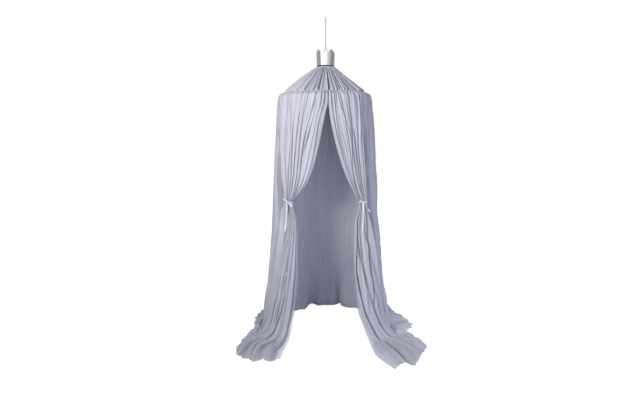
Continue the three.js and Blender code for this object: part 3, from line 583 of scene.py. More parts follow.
def ripple(x, y, fineness, seed, waves=6):
    """Smooth noise over two coordinates, from about -1 to 1, the same on each run."""
    x, y = x * fineness[0], y * fineness[1]
    draw = np.random.default_rng(seed)
    total = np.zeros(np.broadcast(x, y).shape)
    for _ in range(waves):
        fx, fy = draw.uniform(-1, 1, 2)
        total = total + np.sin(full_turn * (fx * x + fy * y + draw.random()))
    return total / math.sqrt(waves)


def fold_field(shares, level, count, seed, groove, fading, wander, spread, crest):
    """Folds across a cloth, from 1 on the ridges down to -1 in the grooves between them. The folds
    have widths of their own, some grooves fade with the level, a column, so that folds run together,
    and a crest beside a groove makes a pressed pleat of it."""
    draw = np.random.default_rng(seed)
    widths = np.clip(1 + spread * draw.standard_normal(count), *fold_widths)
    edges = np.concatenate([[0], np.cumsum(widths)]) / widths.sum()
    start = draw.uniform(*groove_starts, count + 1)
    finish = np.where(draw.random(count + 1) < fading, draw.uniform(*groove_ends, count + 1), 1.0)
    moment = draw.uniform(*groove_moments, count + 1)
    side = np.where(draw.random(count + 1) < 0.5, -crest_beside, crest_beside)
    groove = np.broadcast_to(groove, level.shape)
    field = np.ones((len(level), len(shares)))
    for j in range(1, count):
        drift = ripple(level, 0 * level + j, groove_ripples, seed + 7 + j, waves=3)
        strength = mix(start[j], finish[j], smooth(level * groove_pace - moment[j]))
        width = groove * (widths[j - 1] + widths[j]) / 2 / widths.sum()
        away = (shares - edges[j] - wander / count * drift) / width
        field -= 2 * strength * hump(away, 0, 1)
        field += crest * strength * hump(away, -side[j], 1)
    phase = np.interp(shares, edges, np.arange(count + 1))
    field += fold_roundness * (1 - np.cos(full_turn * phase)) - 2 * fold_roundness
    return np.clip(field, least_fold, 1.0 + crest)


def soft_top(low, high, round_off):
    """The higher of two heights, with the corner between them rounded off."""
    return (low + high + np.sqrt((low - high) ** 2 + round_off**2)) / 2


def surface_normals(grid):
    normal = np.cross(np.gradient(grid, axis=0), np.gradient(grid, axis=1))
    return normal / np.maximum(np.linalg.norm(normal, axis=2, keepdims=True), 1e-9)


def cloth_coordinates(grid):
    """Metres across and down the cloth, measured on the folded grid itself."""
    rows, columns = grid.shape[:2]
    return np.stack(np.meshgrid(run_along(grid[rows // 4]), run_along(grid[:, columns // 2])), -1)


# Materials


class Nodes:
    """Short words for building the nodes of a material or of the world."""

    def __init__(self, owner):
        self.owner = owner
        owner.use_nodes = True
        self.tree = owner.node_tree

    def feed(self, node, sockets):
        """Gives each named socket a value, or a link from another node."""
        for socket, value in sockets.items():
            if isinstance(value, bpy.types.NodeSocket):
                self.tree.links.new(value, node.inputs[socket])
            else:
                node.inputs[socket].default_value = value

    def add(self, kind, sockets, **settings):
        made = self.tree.nodes.new("ShaderNode" + kind)
        for name, value in settings.items():
            setattr(made, name, value)
        self.feed(made, sockets)
        return made

    def surface(self, sockets):
        self.feed(self.tree.nodes["Principled BSDF"], sockets)

    def texture_place(self, kind):
        return self.add("TexCoord", {}).outputs[kind]

    def math(self, operation, a, b):
        return self.add("Math", {0: a, 1: b}, operation=operation).outputs[0]

    def stretched(self, place, stretch):
        return self.add("Mapping", {"Vector": place, "Scale": stretch}).outputs["Vector"]

    def noise(self, place, scale, detail, roughness=0.5):
        sockets = {"Vector": place, "Scale": scale, "Detail": detail, "Roughness": roughness}
        return self.add("TexNoise", sockets).outputs["Fac"]

    def threads(self, place, scale, direction):
        made = self.add("TexWave", {"Vector": place, "Scale": scale}, bands_direction=direction)
        return made.outputs["Fac"]

    def ramp(self, level, stops):
        made = self.add("ValToRGB", {"Fac": level})
        elements = made.color_ramp.elements
        while len(elements) < len(stops):
            elements.new(0.5)
        for element, (place, colour) in zip(elements, stops):
            element.position = place
            element.color = (*colour, 1)
        return made.outputs["Color"]

    def map_range(self, value, limits):
        return self.add("MapRange", {"Value": value, **limits}).outputs[0]

    def bump(self, height, strength, depth):
        made = self.add("Bump", {"Height": height, "Strength": strength, "Distance": depth})
        self.surface({"Normal": made.outputs["Normal"]})

    def either(self, choice, first, second):
        """The first shader where the choice is 0, the second where it is 1."""
        return self.add("MixShader", {0: choice, 1: first, 2: second}).outputs[0]

    def seen_by(self, kind):
        return self.add("LightPath", {}).outputs[kind]


def make_voile():
    """Sheer voile: fine weave, streaks along the threads, and less cover where the cloth is thin, and on a
    strip of the left side where see-through cloth is painted light.
    """
    made = Nodes(bpy.data.materials.new("grey_voile"))
    cloth = made.texture_place("UV")
    streaks = made.noise(made.stretched(cloth, streak_stretch), 1.0, 3.0, 0.6)
    clouds = made.noise(made.stretched(cloth, cloud_stretch), 1.0, 2.0)
    tone = made.math("ADD", made.math("MULTIPLY", streaks, streak_share),
                     made.math("MULTIPLY", clouds, cloud_share))
    weave = made.math("MULTIPLY", *(made.threads(cloth, voile_threads, direction) for direction in "YX"))
    slub = made.noise(made.stretched(cloth, slub_stretch), 1.0, 2.0)
    made.bump(made.math("ADD", weave, made.math("MULTIPLY", slub, slub_share)), *voile_bump)
    thinness = made.add("Attribute", {}, attribute_name="sheer").outputs["Fac"]
    loss = made.math("MULTIPLY", thinness, voile_full - voile_least)
    patches = made.math("MULTIPLY", made.math("SUBTRACT", streaks, 0.5), voile_patches)
    cover = made.math("ADD", made.math("SUBTRACT", voile_full, loss), patches)
    made.surface({"Base Color": made.ramp(tone, voile_tones), "Alpha": cover, **voile_surface})
    return made.owner


def make_silver():
    made = Nodes(bpy.data.materials.new("polished_silver"))
    place = made.texture_place("Object")
    brushed = made.noise(made.stretched(place, brush_stretch), 1.0, 4.0, 0.6)
    cloudy = made.noise(place, silver_clouds, 4.0)
    rough = made.math("ADD", made.math("MULTIPLY", brushed, silver_unevenness),
                      made.math("MULTIPLY", cloudy, silver_unevenness))
    rough = made.math("ADD", rough, silver_roughness)
    made.surface({"Base Color": made.ramp(cloudy, silver_tones), "Roughness": rough, "Metallic": 1.0})
    made.bump(brushed, *silver_bump)
    return made.owner


def make_grained(name, stretch, scale, detail, dark, light, bump, surface):
    """A material whose grain tints it and stands up from it."""
    made = Nodes(bpy.data.materials.new(name))
    place = made.texture_place("Object")
    grain = made.noise(made.stretched(place, stretch) if stretch else place, scale, detail)
    made.surface({"Base Color": made.ramp(grain, (dark, light))})
    for socket, value in surface.items():
        if isinstance(value, tuple):
            value = made.math("ADD", made.math("MULTIPLY", grain, value[0]), value[1])
        made.surface({socket: value})
    made.bump(grain, *bump)
    return made.owner


materials = {slot: make_grained(*settings) for slot, settings in grained_materials.items()}
materials["voile"] = make_voile()
materials["silver"] = make_silver()

# Cord, ring and bridle

eye_centre = -ring_bore + touch_gap - eye_bore / 2
eye_middle = eye_bore / 2 + eye_cord / 2
top_knot = eye_centre - eye_middle - knot_tall / 2
cord_top = top_knot - knot_tall / 2 - touch_gap
bridle_centre = fall(bridle_height)
cord_bottom = bridle_centre + knot_tall / 2 + touch_gap


def knot(centre, wide, tall):
    """A pulled-tight knot: strands that lie over each other on a rounded core."""
    up = np.linspace(0, math.pi, knot_rows)[:, None]
    turn = round_turn(knot_columns)
    strand = np.abs(np.sin(knot_strands * (up + 0.5 * np.sin(turn)) + turn)) ** 0.6
    reach = (0.8 + 0.2 * strand) * np.sin(up) ** 0.8
    x = centre[0] + reach * np.cos(turn) * wide / 2
    y = centre[1] + reach * np.sin(turn) * wide / 2
    z = centre[2] + np.cos(up) * tall / 2 + 0 * turn
    return np.stack([x, y, z], -1)


def make_hanging():
    turn = round_turn(ring_steps)
    middle = ring_bore / 2 + ring_wire / 2
    path = np.stack([middle * np.cos(turn), 0 * turn, -ring_bore / 2 + middle * np.sin(turn)], -1)
    ring = add_piece("ring_wire", tube(path, ring_wire / 2, closed=True), "steel", "hanging_point",
                     "hanging_ring")
    loop = np.stack([0 * turn, eye_middle * np.cos(turn), eye_centre + eye_middle * np.sin(turn)], -1)
    eye = add_piece("cord_loop", tube(loop, eye_cord / 2, closed=True, **laid_cord), "cord", "hanging_point",
                    "cord_eye")
    add_piece("cord_loop_knot", knot((0, 0, top_knot), knot_wide, knot_tall), "cord", "hanging_point")
    spine = np.linspace((0, 0, cord_bottom), (0, 0, cord_top), cord_rows)
    cord = add_piece("hanging_cord_laid", tube(spine, cord_diameter / 2, **laid_cord), "cord", "crown_unit",
                     "hanging_cord")
    add_piece("bridle_knot_tied", knot((0, 0, bridle_centre), knot_wide, knot_tall), "cord", "crown_unit",
              "bridle_knot")


def leg_end(leg, out):
    """Where a leg's stop knot sits, from the box of the leg's solid. The first leg runs nearly along X."""
    low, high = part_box(leg)
    reach = high.x - leg_knot / 2
    if out[0] < 0:
        far = [a if abs(a) > abs(b) else b for a, b in ((low.x, high.x), (low.y, high.y))]
        reach = math.hypot(*far) - leg_knot / 2 * (abs(out[0]) + abs(out[1]))
    return np.array([*(out * reach), low.z + leg_knot / 2])


def make_bridle():
    """Three cord legs from the knot to the eyes in the crown's wall, each with its stop knot."""
    top = np.array([0, 0, bridle_centre])
    for i in range(leg_count):
        turn = (leg_turn + i * 360 / leg_count) * degree
        end = leg_end(f"bridle_leg_{i + 1}", np.array([math.cos(turn), math.sin(turn)]))
        along = (end - top) / np.linalg.norm(end - top)
        spine = np.linspace(top + along * (knot_tall / 2 + touch_gap), end, leg_rows)
        add_piece(f"bridle_leg_laid_{i + 1}", tube(spine, leg_diameter / 2, **laid_cord), "cord",
                  "crown_unit", f"bridle_leg_{i + 1}")
        add_piece(f"bridle_stop_{i + 1}", knot(end, leg_knot, leg_knot), "cord", "crown_unit")


make_hanging()
make_bridle()

# Crown

crown_base = fall(crown_height)


def make_crown():
    pitch = 360 / crown_points
    angle = np.arange(crown_columns * crown_points) * 360 / (crown_columns * crown_points)
    off_point = angle - np.round(angle / pitch) * pitch
    edge = mix(crown_valley_tall, crown_point_tall, np.clip(1 - np.abs(off_point) / point_half_angle, 0, 1))
    flare = (crown_mouth_radius - crown_base_radius) / crown_point_tall
    turn = (angle + crown_turn) * degree
    soft = crown_soft_edge
    outside = ((0, soft, 0), (0, 0, soft), (0, 0, 2 * soft), (0.3, 0, 0), (0.6, 0, 0), (0.85, 0, 0))
    rim = ((1, 0, -2 * soft), (1, 0, -soft), (1, soft / 2, 0), (1, crown_wall - soft / 2, 0),
           (1, crown_wall, -soft))
    inside = ((0.85, crown_wall, 0), (0.5, crown_wall, 0), (0, crown_wall, soft), (0, crown_wall - soft, 0))
    rows = []
    for share, inset, lift in (*outside, *rim, *inside):
        height = edge * share + lift
        radius = crown_base_radius + flare * height - inset
        rows.append(np.stack([radius * np.cos(turn), radius * np.sin(turn), crown_base + height], -1))
    add_piece("crown_shell", np.array(rows), "silver", "crown_unit", "crown")


def make_crown_base():
    top = crown_base - touch_gap
    bottom = top - band_tall
    outer, lip, wall = crown_base_radius, crown_base_radius - band_lip, crown_base_radius - band_wall
    soft = band_soft_edge
    outline = (
        (lip, bottom), (outer - soft, bottom), (outer, bottom + soft),
        (outer + band_swell, (top + bottom) / 2), (outer, top - soft), (outer - soft, top),
        (wall, top), (wall, bottom + band_sole),
        (lip, bottom + band_sole), (lip, bottom),
    )
    # The edging's near-black tone is painted shade for the gap under the crown
    add_piece("crown_edging", ring_grid(outline, band_columns), "dark_band", "crown_unit",
              "crown_base_ring", flip=True)
    low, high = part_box("top_disc")
    radius, soft = high.x, disc_soft_edge
    outline = (
        (disc_centre, low.z), (radius * 0.5, low.z), (radius - soft, low.z), (radius, low.z + soft),
        (radius, high.z - soft), (radius - soft, high.z), (radius * 0.5, high.z), (disc_centre, high.z),
        (disc_centre, low.z),
    )
    add_piece("crown_disc", ring_grid(outline, disc_columns), "board", "crown_unit", "top_disc", flip=True)


make_crown()
make_crown_base()

# Hoop's sewn sleeve


def make_sleeve():
    """The sewn tape round the hoop, with the small wrinkles of cloth drawn onto a wire."""
    level = fall(seam_height) - touch_gap - tape_radius
    turn = round_turn(tape_columns)
    round_ = round_turn(tape_rows)[:, None]
    pucker = np.abs(np.sin(tape_puckers * turn + 1.2 * np.sin(7 * turn) + 1.5 * np.sin(round_)))
    radius = tape_radius - pucker_depth * (1 - pucker) ** 2
    reach = hoop_radius + radius * np.cos(round_)
    height = level + radius * np.sin(round_)
    grid = np.stack([reach * np.sin(turn), -reach * np.cos(turn), height], -1)
    grid = np.concatenate([grid, grid[:1]])
    across = np.linspace(0, tape_girth, tape_rows + 1)[:, None]
    uv = np.stack(np.broadcast_arrays(turn * hoop_radius, across), -1)
    add_piece("hoop_sleeve", grid, "voile", "drop_unit", "rim_tape", cloth_uv=uv,
              sheer=np.zeros(grid.shape[:2]))


make_sleeve()

# Pleated cone


def make_cone():
    top = crown_base - touch_gap - band_tall - touch_gap
    foot = fall(seam_height)
    shares = np.linspace(0, 1, cone_pleats * cone_columns + 1)
    down = np.array(cone_levels)[:, None]
    angle = shares * 360 + 180 + 0 * down
    to_right = 0.5 + 0.5 * np.sin(angle * degree)
    bulge = mix(*cone_bulges, to_right) * (4 * down * (1 - down))
    ridge = mix(crown_base_radius, cone_foot - cone_draw * to_right, down) + bulge
    pitch = full_turn * mix(crown_base_radius, cone_foot, down) / cone_pleats
    folds = fold_field(shares, down, cone_pleats, cone_seed, mix(*pleat_grooves, down), **cone_folds)
    sewn = 1 - foot_flattening * rise(down, *flattened_span)
    depth = pitch * mix(*pleat_depths, down) * sewn * rise(down, *opened_span)
    crinkle = np.cos(full_turn * (foot_crinkles * cone_pleats * shares)) * foot_crinkle
    wave = depth * mix(*pleat_fullness, to_right) * (folds - pleat_rest)
    wave = wave + crinkle * rise(down, *crinkled_span) - foot_tuck * rise(down, *tucked_span)
    height = mix(top, foot, down) + wave * pleat_up * rise(down, *top_span)
    grid = raised(plan(ridge + wave * pleat_out, angle), height)
    grid[:, -1] = grid[:, 0]
    cone = add_piece("cone_pleated", grid, "voile", "crown_unit", "cone_skirt", wrap=False,
                     cloth_uv=cloth_coordinates(grid), sheer=0 * height)
    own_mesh(cone)


make_cone()

# Hanging cloth: a smooth guide surface through stations, with the cloth's folds on it


def free_reach(height):
    """Reach of the free-hanging cloth from the axis, by height."""
    upper = mix(waist_reach, shoulder_reach, (height - tie_height) / (shoulder_height - tie_height))
    under_tie = np.clip((tie_height - height) / (tie_height - low_height), 0, 1)
    middle = mix(waist_reach, low_reach, under_tie**middle_flare)
    lower = mix(low_reach, touch_reach, np.clip((low_height - height) / low_height, 0, 1) ** lower_flare)
    return np.where(height > tie_height, upper, np.where(height > low_height, middle, lower))


def waist_frame(curtain):
    """Centre of a tied waist in plan, the direction across it, and the way it faces."""
    turn = curtain.waist_turn * degree
    sign = curtain.sign
    centre = on_side(sign, curtain.tie_shares) * shoulder_reach
    across = np.array([sign * math.cos(turn), math.sin(turn)])
    outward = np.array([sign * math.sin(turn), -math.cos(turn)])
    return centre, across, outward


class Guide:
    """Stations down the threads of a cloth, each with its place and with how deep, how rounded or
    how floor-bound the cloth is there, and the smooth surface through them."""

    def __init__(self, shares):
        self.shares = shares
        self.places, self.values = [], []

    def station(self, flat, height, *values):
        self.places.append(np.column_stack([flat, np.full(len(self.shares), float(height))]))
        self.values.append(values)

    def surface(self, rows):
        """The run at each station and at each row, the surface, its outward normals, the values."""
        steps = np.linalg.norm(np.diff(self.places, axis=0), axis=2).mean(1)
        knots = np.concatenate([[0], np.cumsum(np.maximum(steps, least_step))])
        at = np.linspace(0, knots[-1], rows)
        whole = pchip(knots, self.places, at)
        normals = surface_normals(whole)
        normals *= np.sign((normals[rows // 8, :, :2] * whole[rows // 8, :, :2]).sum())
        return knots, at[:, None], whole, normals, pchip(knots, self.values, at).T[..., None]


def front_guide(curtain, shares):
    sign = curtain.sign
    gap = edge_gap / tape_reach / degree
    angle = mix(part_angle + sign * gap, sign * (curtain.span - gap), shares)
    centre, across, _ = waist_frame(curtain)
    waist = centre + across * ((shares - 0.5) * waist_wide * curtain.waist_share)[:, None]
    neck_top = tie_height + waist_band / 2
    guide = Guide(shares)

    def gathered(reach, height, fallen):
        """Draws the cloth towards its tie, the folds between its two edges already from the seam."""
        from_seam = (seam_height - height) / (seam_height - neck_top)
        inner_pull = sum(share * fallen**power for share, power in curtain.inner_pull)
        pull = mix(inner_pull, fallen**outer_pull, shares)
        pull = pull + curtain.fan * 4 * shares * (1 - shares) * from_seam * (1 - from_seam)
        return mix(plan(reach, angle), waist, pull[:, None])

    guide.station(plan(tape_reach + heading_out, angle), seam_height - heading_drop, heading_depth, 0, 0)
    for (out, down), depth in shoulder_stations:
        height = mix(shoulder_top, shoulder_height, down)
        guide.station(gathered(mix(shoulder_start, shoulder_reach, out), height, 0), height, depth, 0, 0)
    for fallen in front_levels:
        height = mix(shoulder_height, neck_top, fallen)
        flatter = hang_flattening * rise(fallen, *flattening_span)
        depth = mix(*hang_depths, fallen) * (1 - flatter)
        guide.station(gathered(free_reach(height), height, fallen), height, depth, fallen**neck_rounding, 0)
    for height in (neck_top, tie_height, tie_height - waist_band / 2):
        guide.station(waist, height, tie_depth, 1, 0)
    for height, inner, outer, bulge, floor in curtain.tail_shares:
        inner, outer = on_side(sign, inner), on_side(sign, outer)
        chord = outer - inner
        out = np.array([-chord[1], chord[0]]) * sign
        out /= np.linalg.norm(out)
        if out.dot(inner) < 0:
            out = -out
        bow = (4 * shares * (1 - shares) * bulge)[:, None]
        flat = (inner + chord * shares[:, None] + out * bow) * shoulder_reach
        guide.station(flat, height * tie_height, mix(tail_depth, floor_fold_depth, floor), 0, floor)
    corners = np.array(curtain.hem_corners) * (sign * shoulder_reach, -shoulder_reach)
    sides = run_along(corners)
    hem = np.stack([np.interp(shares, sides / sides[-1], corners[:, k]) for k in range(2)], -1)
    guide.station(hem, 0, hem_depth, 0, 1)
    return guide


def zigzag_edge(grid, turns):
    """Gives the sewn top edge its small uneven zigzag."""
    share = np.linspace(0, turns, grid.shape[1])
    zigzag = np.sin(full_turn * share) * (0.6 + 0.4 * np.sin(0.37 * share))
    fade = np.clip(1 - np.arange(len(grid)) / zigzag_rows, 0, 1)
    grid[..., 2] += heading_zigzag * fade[:, None] * zigzag
    return grid


def gathers(shares, at, count):
    return gather_depth * np.cos(full_turn * shares * count) * np.exp(-at / gather_length)


def saw(shares, teeth, sway, pace):
    """Uneven teeth along an edge, each from 1 down to 0 and up again."""
    return np.abs((shares * teeth + sway * np.sin(pace * shares)) % 1 - 0.5) * 2


def add_sheet(name, grid, at, thinness, *nodes, flip=False):
    """Lets the cloth lie on the floor, thins its hem, and adds it to the drop as a sheet."""
    run = float(at[-1, 0])
    grid[..., 2] = fall(soft_top(grid[..., 2], cloth_rest, cloth_rest))
    hem = hem_thinness * smooth((at - run + hem_start) / hem_length)
    piece = add_piece(name, grid, "voile", "drop_unit", *nodes, wrap=False, flip=flip,
                      cloth_uv=cloth_coordinates(grid), sheer=np.clip(hem + thinness, 0, 1))


def front_curtain(name, curtain, node):
    """A front curtain from the seam through its tie to the hem on the floor. Returns its guide surface."""
    seed = curtain.seed
    shares = np.linspace(0, 1, curtain.folds * front_columns + 1)
    knots, at, whole, normals, (depth, round_, floor) = front_guide(curtain, shares).surface(front_rows)
    neck = knots[1 + len(shoulder_stations) + len(front_levels)]
    from_tie = (at - neck) / knots[-1]

    squeeze = tie_squeeze * hump(from_tie, 0, squeeze_length)
    above = fold_field(shares**swag_crowding, np.clip(at / neck, 0, 1), curtain.folds, seed,
                       swag_groove - squeeze, **swag_folds)
    below = fold_field(shares, np.clip(from_tie * 2, 0, 1), curtain.tail_folds, seed + 1,
                       tail_groove - squeeze, **tail_folds)
    small = fold_field(shares, at, int(curtain.tail_folds * small_fold_count), seed + 2,
                       front_small_groove, **small_folds)
    past_tie = rise(from_tie, *tie_span)
    above = 1 - (1 - above) * mix(*curtain.fold_depths, shares)
    small_share = mix(small_above, mix(small_below, small_on_floor, floor), past_tie)
    folds = mix(above, below, past_tie) + small_share * (small - 0.5) * (1 - round_)

    oval = np.sqrt(1 - (np.abs(2 * shares - 1) * oval_share) ** 2)
    near_neck = rise(at, *(neck * share for share in crowding_span))
    crowding = 1 - edge_crowding * hump(shares, 0, crowding_share) * near_neck
    crowding = mix(crowding, 1, rise(from_tie, *crowding_end))
    half = mix(depth * crowding, waist_deep / 2 * waist_fill * oval, round_)
    broad = ripple(shares, from_tie, front_ripples, seed + 11)
    swing = front_swing * broad * (1 - round_) * rise(at, *front_swing_span)
    lift = half * mix(folds - hang_sink, neck_relief + neck_folds * folds, round_) + swing
    lift = lift + gathers(shares, at, curtain.gathers)

    hem_share = curtain.hem_share
    roll = hem_roll * np.clip(1 - shares / hem_share, 0, 1) ** roll_power
    ridge = hem_ridge * hump(shares, ridge_place * hem_share, ridge_width * hem_share)
    lift += (ridge - roll * rise(at, *roll_span)) * (1 - round_)
    from_edge = np.minimum(shares, 1 - shares)
    settled = depth * (floor_fullness + folds) + front_rumple * (1 + broad)
    lift = mix(lift, settled * mix(low_edge, 1, rise(from_edge, *low_edge_span)), floor)
    grid = zigzag_edge(whole.copy(), curtain.gathers * zigzags_a_gather) + normals * lift[..., None]

    frill = saw(shares, curtain.frill, *frill_sway) * frill_depth - frill_depth / 2
    inward = smooth((at - knots[-1] + frill_length) / frill_length) * frill
    threads = whole[-1, :, :2] - whole[-frill_rows, :, :2]
    grid[..., :2] -= inward[..., None] * (threads / np.linalg.norm(threads, axis=1, keepdims=True))
    edge = edge_thinness + curtain.edge_glow * rise(from_tie, *glow_span)
    edge = edge * hump(shares, 0, hem_share) * (1 - waist_cover * round_)
    add_sheet(name, grid, at, edge, node, flip=curtain.sign > 0)
    return whole


guides = {side: front_curtain(f"front_curtain_{side}_draped", curtain, f"front_{side}_curtain")
          for side, curtain in curtains.items()}


def side_and_back():
    """The rest of the drop, one sheet from behind the left curtain round the back to the right one."""
    spans = {side: curtain.span for side, curtain in curtains.items()}
    columns = side_fold_count * side_columns
    shares = np.linspace(0, 1, columns + 1)
    turn = -spans["left"] - (360 - spans["left"] - spans["right"]) * shares
    angle = np.where(turn < -180, turn + 360, turn)
    on_left = turn >= -180
    beside = np.abs(angle)
    back_share = rise(beside, 90, 90)
    sign = np.where(on_left, -1, 1)
    span = np.where(on_left, spans["left"], spans["right"])
    draw_share = np.clip((beside - span) / side_draw_angle, 0, 1)
    guide = Guide(shares)

    def edge_line(side, height):
        """Where the outer edge of a front curtain passes a height."""
        line = guides[side][:, -1]
        order = np.argsort(line[:, 2], kind="stable")
        return np.array([np.interp(height, line[order, 2], line[order, k]) for k in range(2)])

    def drawn(edges, reach_at, tuck, under):
        """The cloth at one level, drawn towards the front curtains' edges and tucked behind them."""
        flat = np.where(on_left[:, None], edges["left"], edges["right"])
        edge_reach = np.linalg.norm(flat, axis=1) - tuck
        edge_angle = np.arctan2(np.abs(flat[:, 0]), -flat[:, 1]) / degree - under / edge_reach / degree
        turned = np.where(draw_share < 1, mix(edge_angle, span + side_draw_angle, draw_share), beside)
        return plan(mix(edge_reach, reach_at(turned), eased(draw_share)), sign * turned)

    def by_side(tables, turned):
        reaches = [pchip(*np.array(table).T, np.clip(turned, table[0][0], 180)) for table in tables.values()]
        return np.where(on_left, *reaches) * touch_reach

    guide.station(plan(tape_reach + heading_out, angle), seam_height - heading_drop, heading_depth, 0)
    for (out, down), depth in shoulder_stations:
        flat = plan(mix(shoulder_start, shoulder_reach, out), angle)
        guide.station(flat, mix(shoulder_top, shoulder_height, down), depth, 0)
    for height in side_heights:
        fallen = (shoulder_height - height) / shoulder_height
        near_floor = smooth((near_floor_height - height) / near_floor_height)

        def hanging_reach(turned):
            free = free_reach(np.array(height)) - back_share * back_draw * fallen
            return mix(free, by_side(contact_shares, turned), near_floor)

        edges = {side: edge_line(side, height) for side in curtains}
        tuck = mix(*edge_tucks, smooth(fallen * 2))
        depth = mix(*side_depths, math.sqrt(fallen))
        floor = np.interp(height, (0, lying_height), (lying_share, 0))
        guide.station(drawn(edges, hanging_reach, tuck, tuck), height, depth, floor)
    for order, depth in enumerate(side_floor_depths):
        edges = {}
        for side, curtain in curtains.items():
            tails = curtain.tail_shares
            outer = (tails[-2][2], tails[-1][2], curtain.hem_corners[-1])[order]
            edges[side] = on_side(curtain.sign, outer) * shoulder_reach

        def lying_reach(turned):
            contact = by_side(contact_shares, turned) + contact_step
            return mix(contact, by_side(hem_shares, turned), order / 2)

        guide.station(drawn(edges, lying_reach, floor_tuck, floor_under), 0, depth, 1)
    knots, at, whole, normals, (depth, floor) = guide.surface(side_rows)

    level = at / knots[-1]
    folds = fold_field(shares, level, side_fold_count, side_seeds["folds"],
                       side_groove + side_groove_growth * level, **side_folds)
    calm = calm_folds * ripple(shares, level, roll_ripples, side_seeds["roll"]) - calm_sink
    folds = mix(folds, calm, back_calm * back_share * rise(level, *calm_span))
    small = fold_field(shares, at, int(side_fold_count * side_small_fold_count), side_seeds["small"],
                       side_small_groove, **small_folds)
    folds = folds + side_small_share * (small - 0.5)
    swing = side_swing * ripple(shares, at, side_ripples, side_seeds["swing"]) * rise(at, *side_swing_span)
    fullness = 1 + side_fullness * (1 - back_share) * rise(at, *fullness_span)
    lift = depth * fullness * (folds - side_sink) + swing + gathers(shares, at, side_gathers)
    rumple = ripple(shares, at, rumple_ripples, side_seeds["rumple"])
    lift = mix(lift, depth * (floor_fullness + folds) + side_rumple * (1 + rumple), floor)

    retreat = hem_tooth * saw(shares, hem_teeth, *teeth_sway)
    retreat = retreat + hem_drift * (1 + ripple(shares, 0, hem_ripples, side_seeds["hem"]))
    start = knots[-3]
    stretch = (knots[-1] - retreat - start) / (knots[-1] - start)
    lying = np.searchsorted(at[:, 0], start)
    places = np.array(guide.places)
    grid = whole.copy()
    for j in range(columns + 1):
        grid[lying:, j] = pchip(knots, places[:, j], start + (at[lying:, 0] - start) * stretch[j])
    grid = zigzag_edge(grid, side_zigzags) + normals * lift[..., None]

    pocket = np.sin(math.pi * np.clip(draw_share / pocket_end, 0, 1)) ** 2 * np.where(on_left, *pocket_depths)
    grid[..., 1] += pocket * rise(level, *pocket_begin_span) * (1 - rise(level, *pocket_end_span))
    on_right = rise(grid[..., 0], *right_span)
    drawn_in = smooth((draw_top - grid[..., 2]) / draw_length) * rise(grid[..., 2], *draw_foot_span)
    grid[..., 0] -= right_draw * on_right * drawn_in
    grid[..., 0] -= right_corner * on_right * hump(grid[..., 2], corner_height, corner_length)
    # A strip of the left side is made see-through so the white shows and it looks lit: painted light
    thinness = painted_light_sheer * hump(turn, lit_angle, lit_width) * smooth((lit_end - level) / lit_fading)
    add_sheet("drop_draped", grid, at, thinness, "side_left_curtain", "side_right_curtain", "back_curtain")


side_and_back()

# Ribbon ties


def add_ribbon(name, grid, thickness, wrap=False):
    """Adds a ribbon, with a thickness, that stands for the solid of the same name."""
    piece = add_piece(f"{name}_satin", grid, "satin", "drop_unit", name, wrap=wrap)
    shell = piece.modifiers.new("thickness", "SOLIDIFY")
    shell.thickness = thickness
    shell.offset = 0


def make_band(side, curtain):
    """The ribbon round the waist, drawn together in creases."""
    centre, across, outward = waist_frame(curtain)
    turn = round_turn(band_turns)
    down = np.linspace(-0.5, 0.5, band_rows)[:, None]
    creases = band_crease * np.cos(math.pi * down) + band_ripple * np.sin(9 * turn + 9 * down)
    grow = band_gap + ribbon_thickness / 2 + creases
    half_wide = waist_wide / 2 * (curtain.waist_share + band_ease) + grow
    half_deep = waist_deep / 2 + grow
    flat = centre + across * (half_wide * np.cos(turn))[..., None]
    flat = flat + outward * (half_deep * np.sin(turn))[..., None]
    width = ribbon_width * (band_width_share + band_width_change * np.sin(3 * turn))
    height = fall(tie_height) + width * down + band_wave * np.sin(2 * turn)
    add_ribbon(f"tie_band_{side}", raised(flat, height), band_thickness, wrap=True)


def make_bow_knot(side, place, spin):
    """The small box-like wrap of the bow."""
    up = np.linspace(0, math.pi, bow_knot_rows)[:, None]
    turn = round_turn(bow_knot_columns)
    wrap_fold = 1 - 0.1 * np.abs(np.sin(2.5 * turn + 2 * up)) ** 0.5
    box_like = np.maximum(np.abs(np.sin(up)) ** 0.6, 1e-4)
    local = np.stack([
        knot_across / 2 * box_like * np.cos(turn) * wrap_fold,
        knot_deep / 2 * box_like * np.sin(turn) * wrap_fold,
        knot_down / 2 * np.cos(up) + 0 * turn,
    ], -1)
    add_piece(f"bow_knot_{side}_satin", local @ np.array(spin).T + place, "satin", "drop_unit",
              f"bow_knot_{side}")


def make_bow_loop(name, place, spin, tilt, share):
    along = np.linspace(0, 1, loop_rows)[:, None]
    cross = np.linspace(-0.5, 0.5, loop_columns)
    swell = np.sin(math.pi * along)
    back_and_forth = np.sin(full_turn * along)
    x = knot_across / 2 - bow_loop_root + bow_loop_long * share * swell**0.75
    y = (bow_loop_deep / 2 - ribbon_thickness / 2) * back_and_forth * (0.35 + 0.65 * swell)
    width = ribbon_width * min(share, 1) * (0.5 + 0.5 * swell**0.5)
    cup = loop_cup * np.cos(math.pi * cross) * np.sign(back_and_forth + 1e-6) * swell
    pleat = loop_pleat * np.sin(9 * cross) * (1 - swell)
    local = np.stack([x + 0 * cross, y + cup + pleat, width * cross], -1)
    turned = spin @ Matrix.Rotation(-tilt * degree, 3, "Y") @ Matrix.Rotation(-bow_splay * degree, 3, "Z")
    add_ribbon(name, local @ np.array(turned).T + place, loop_thickness)


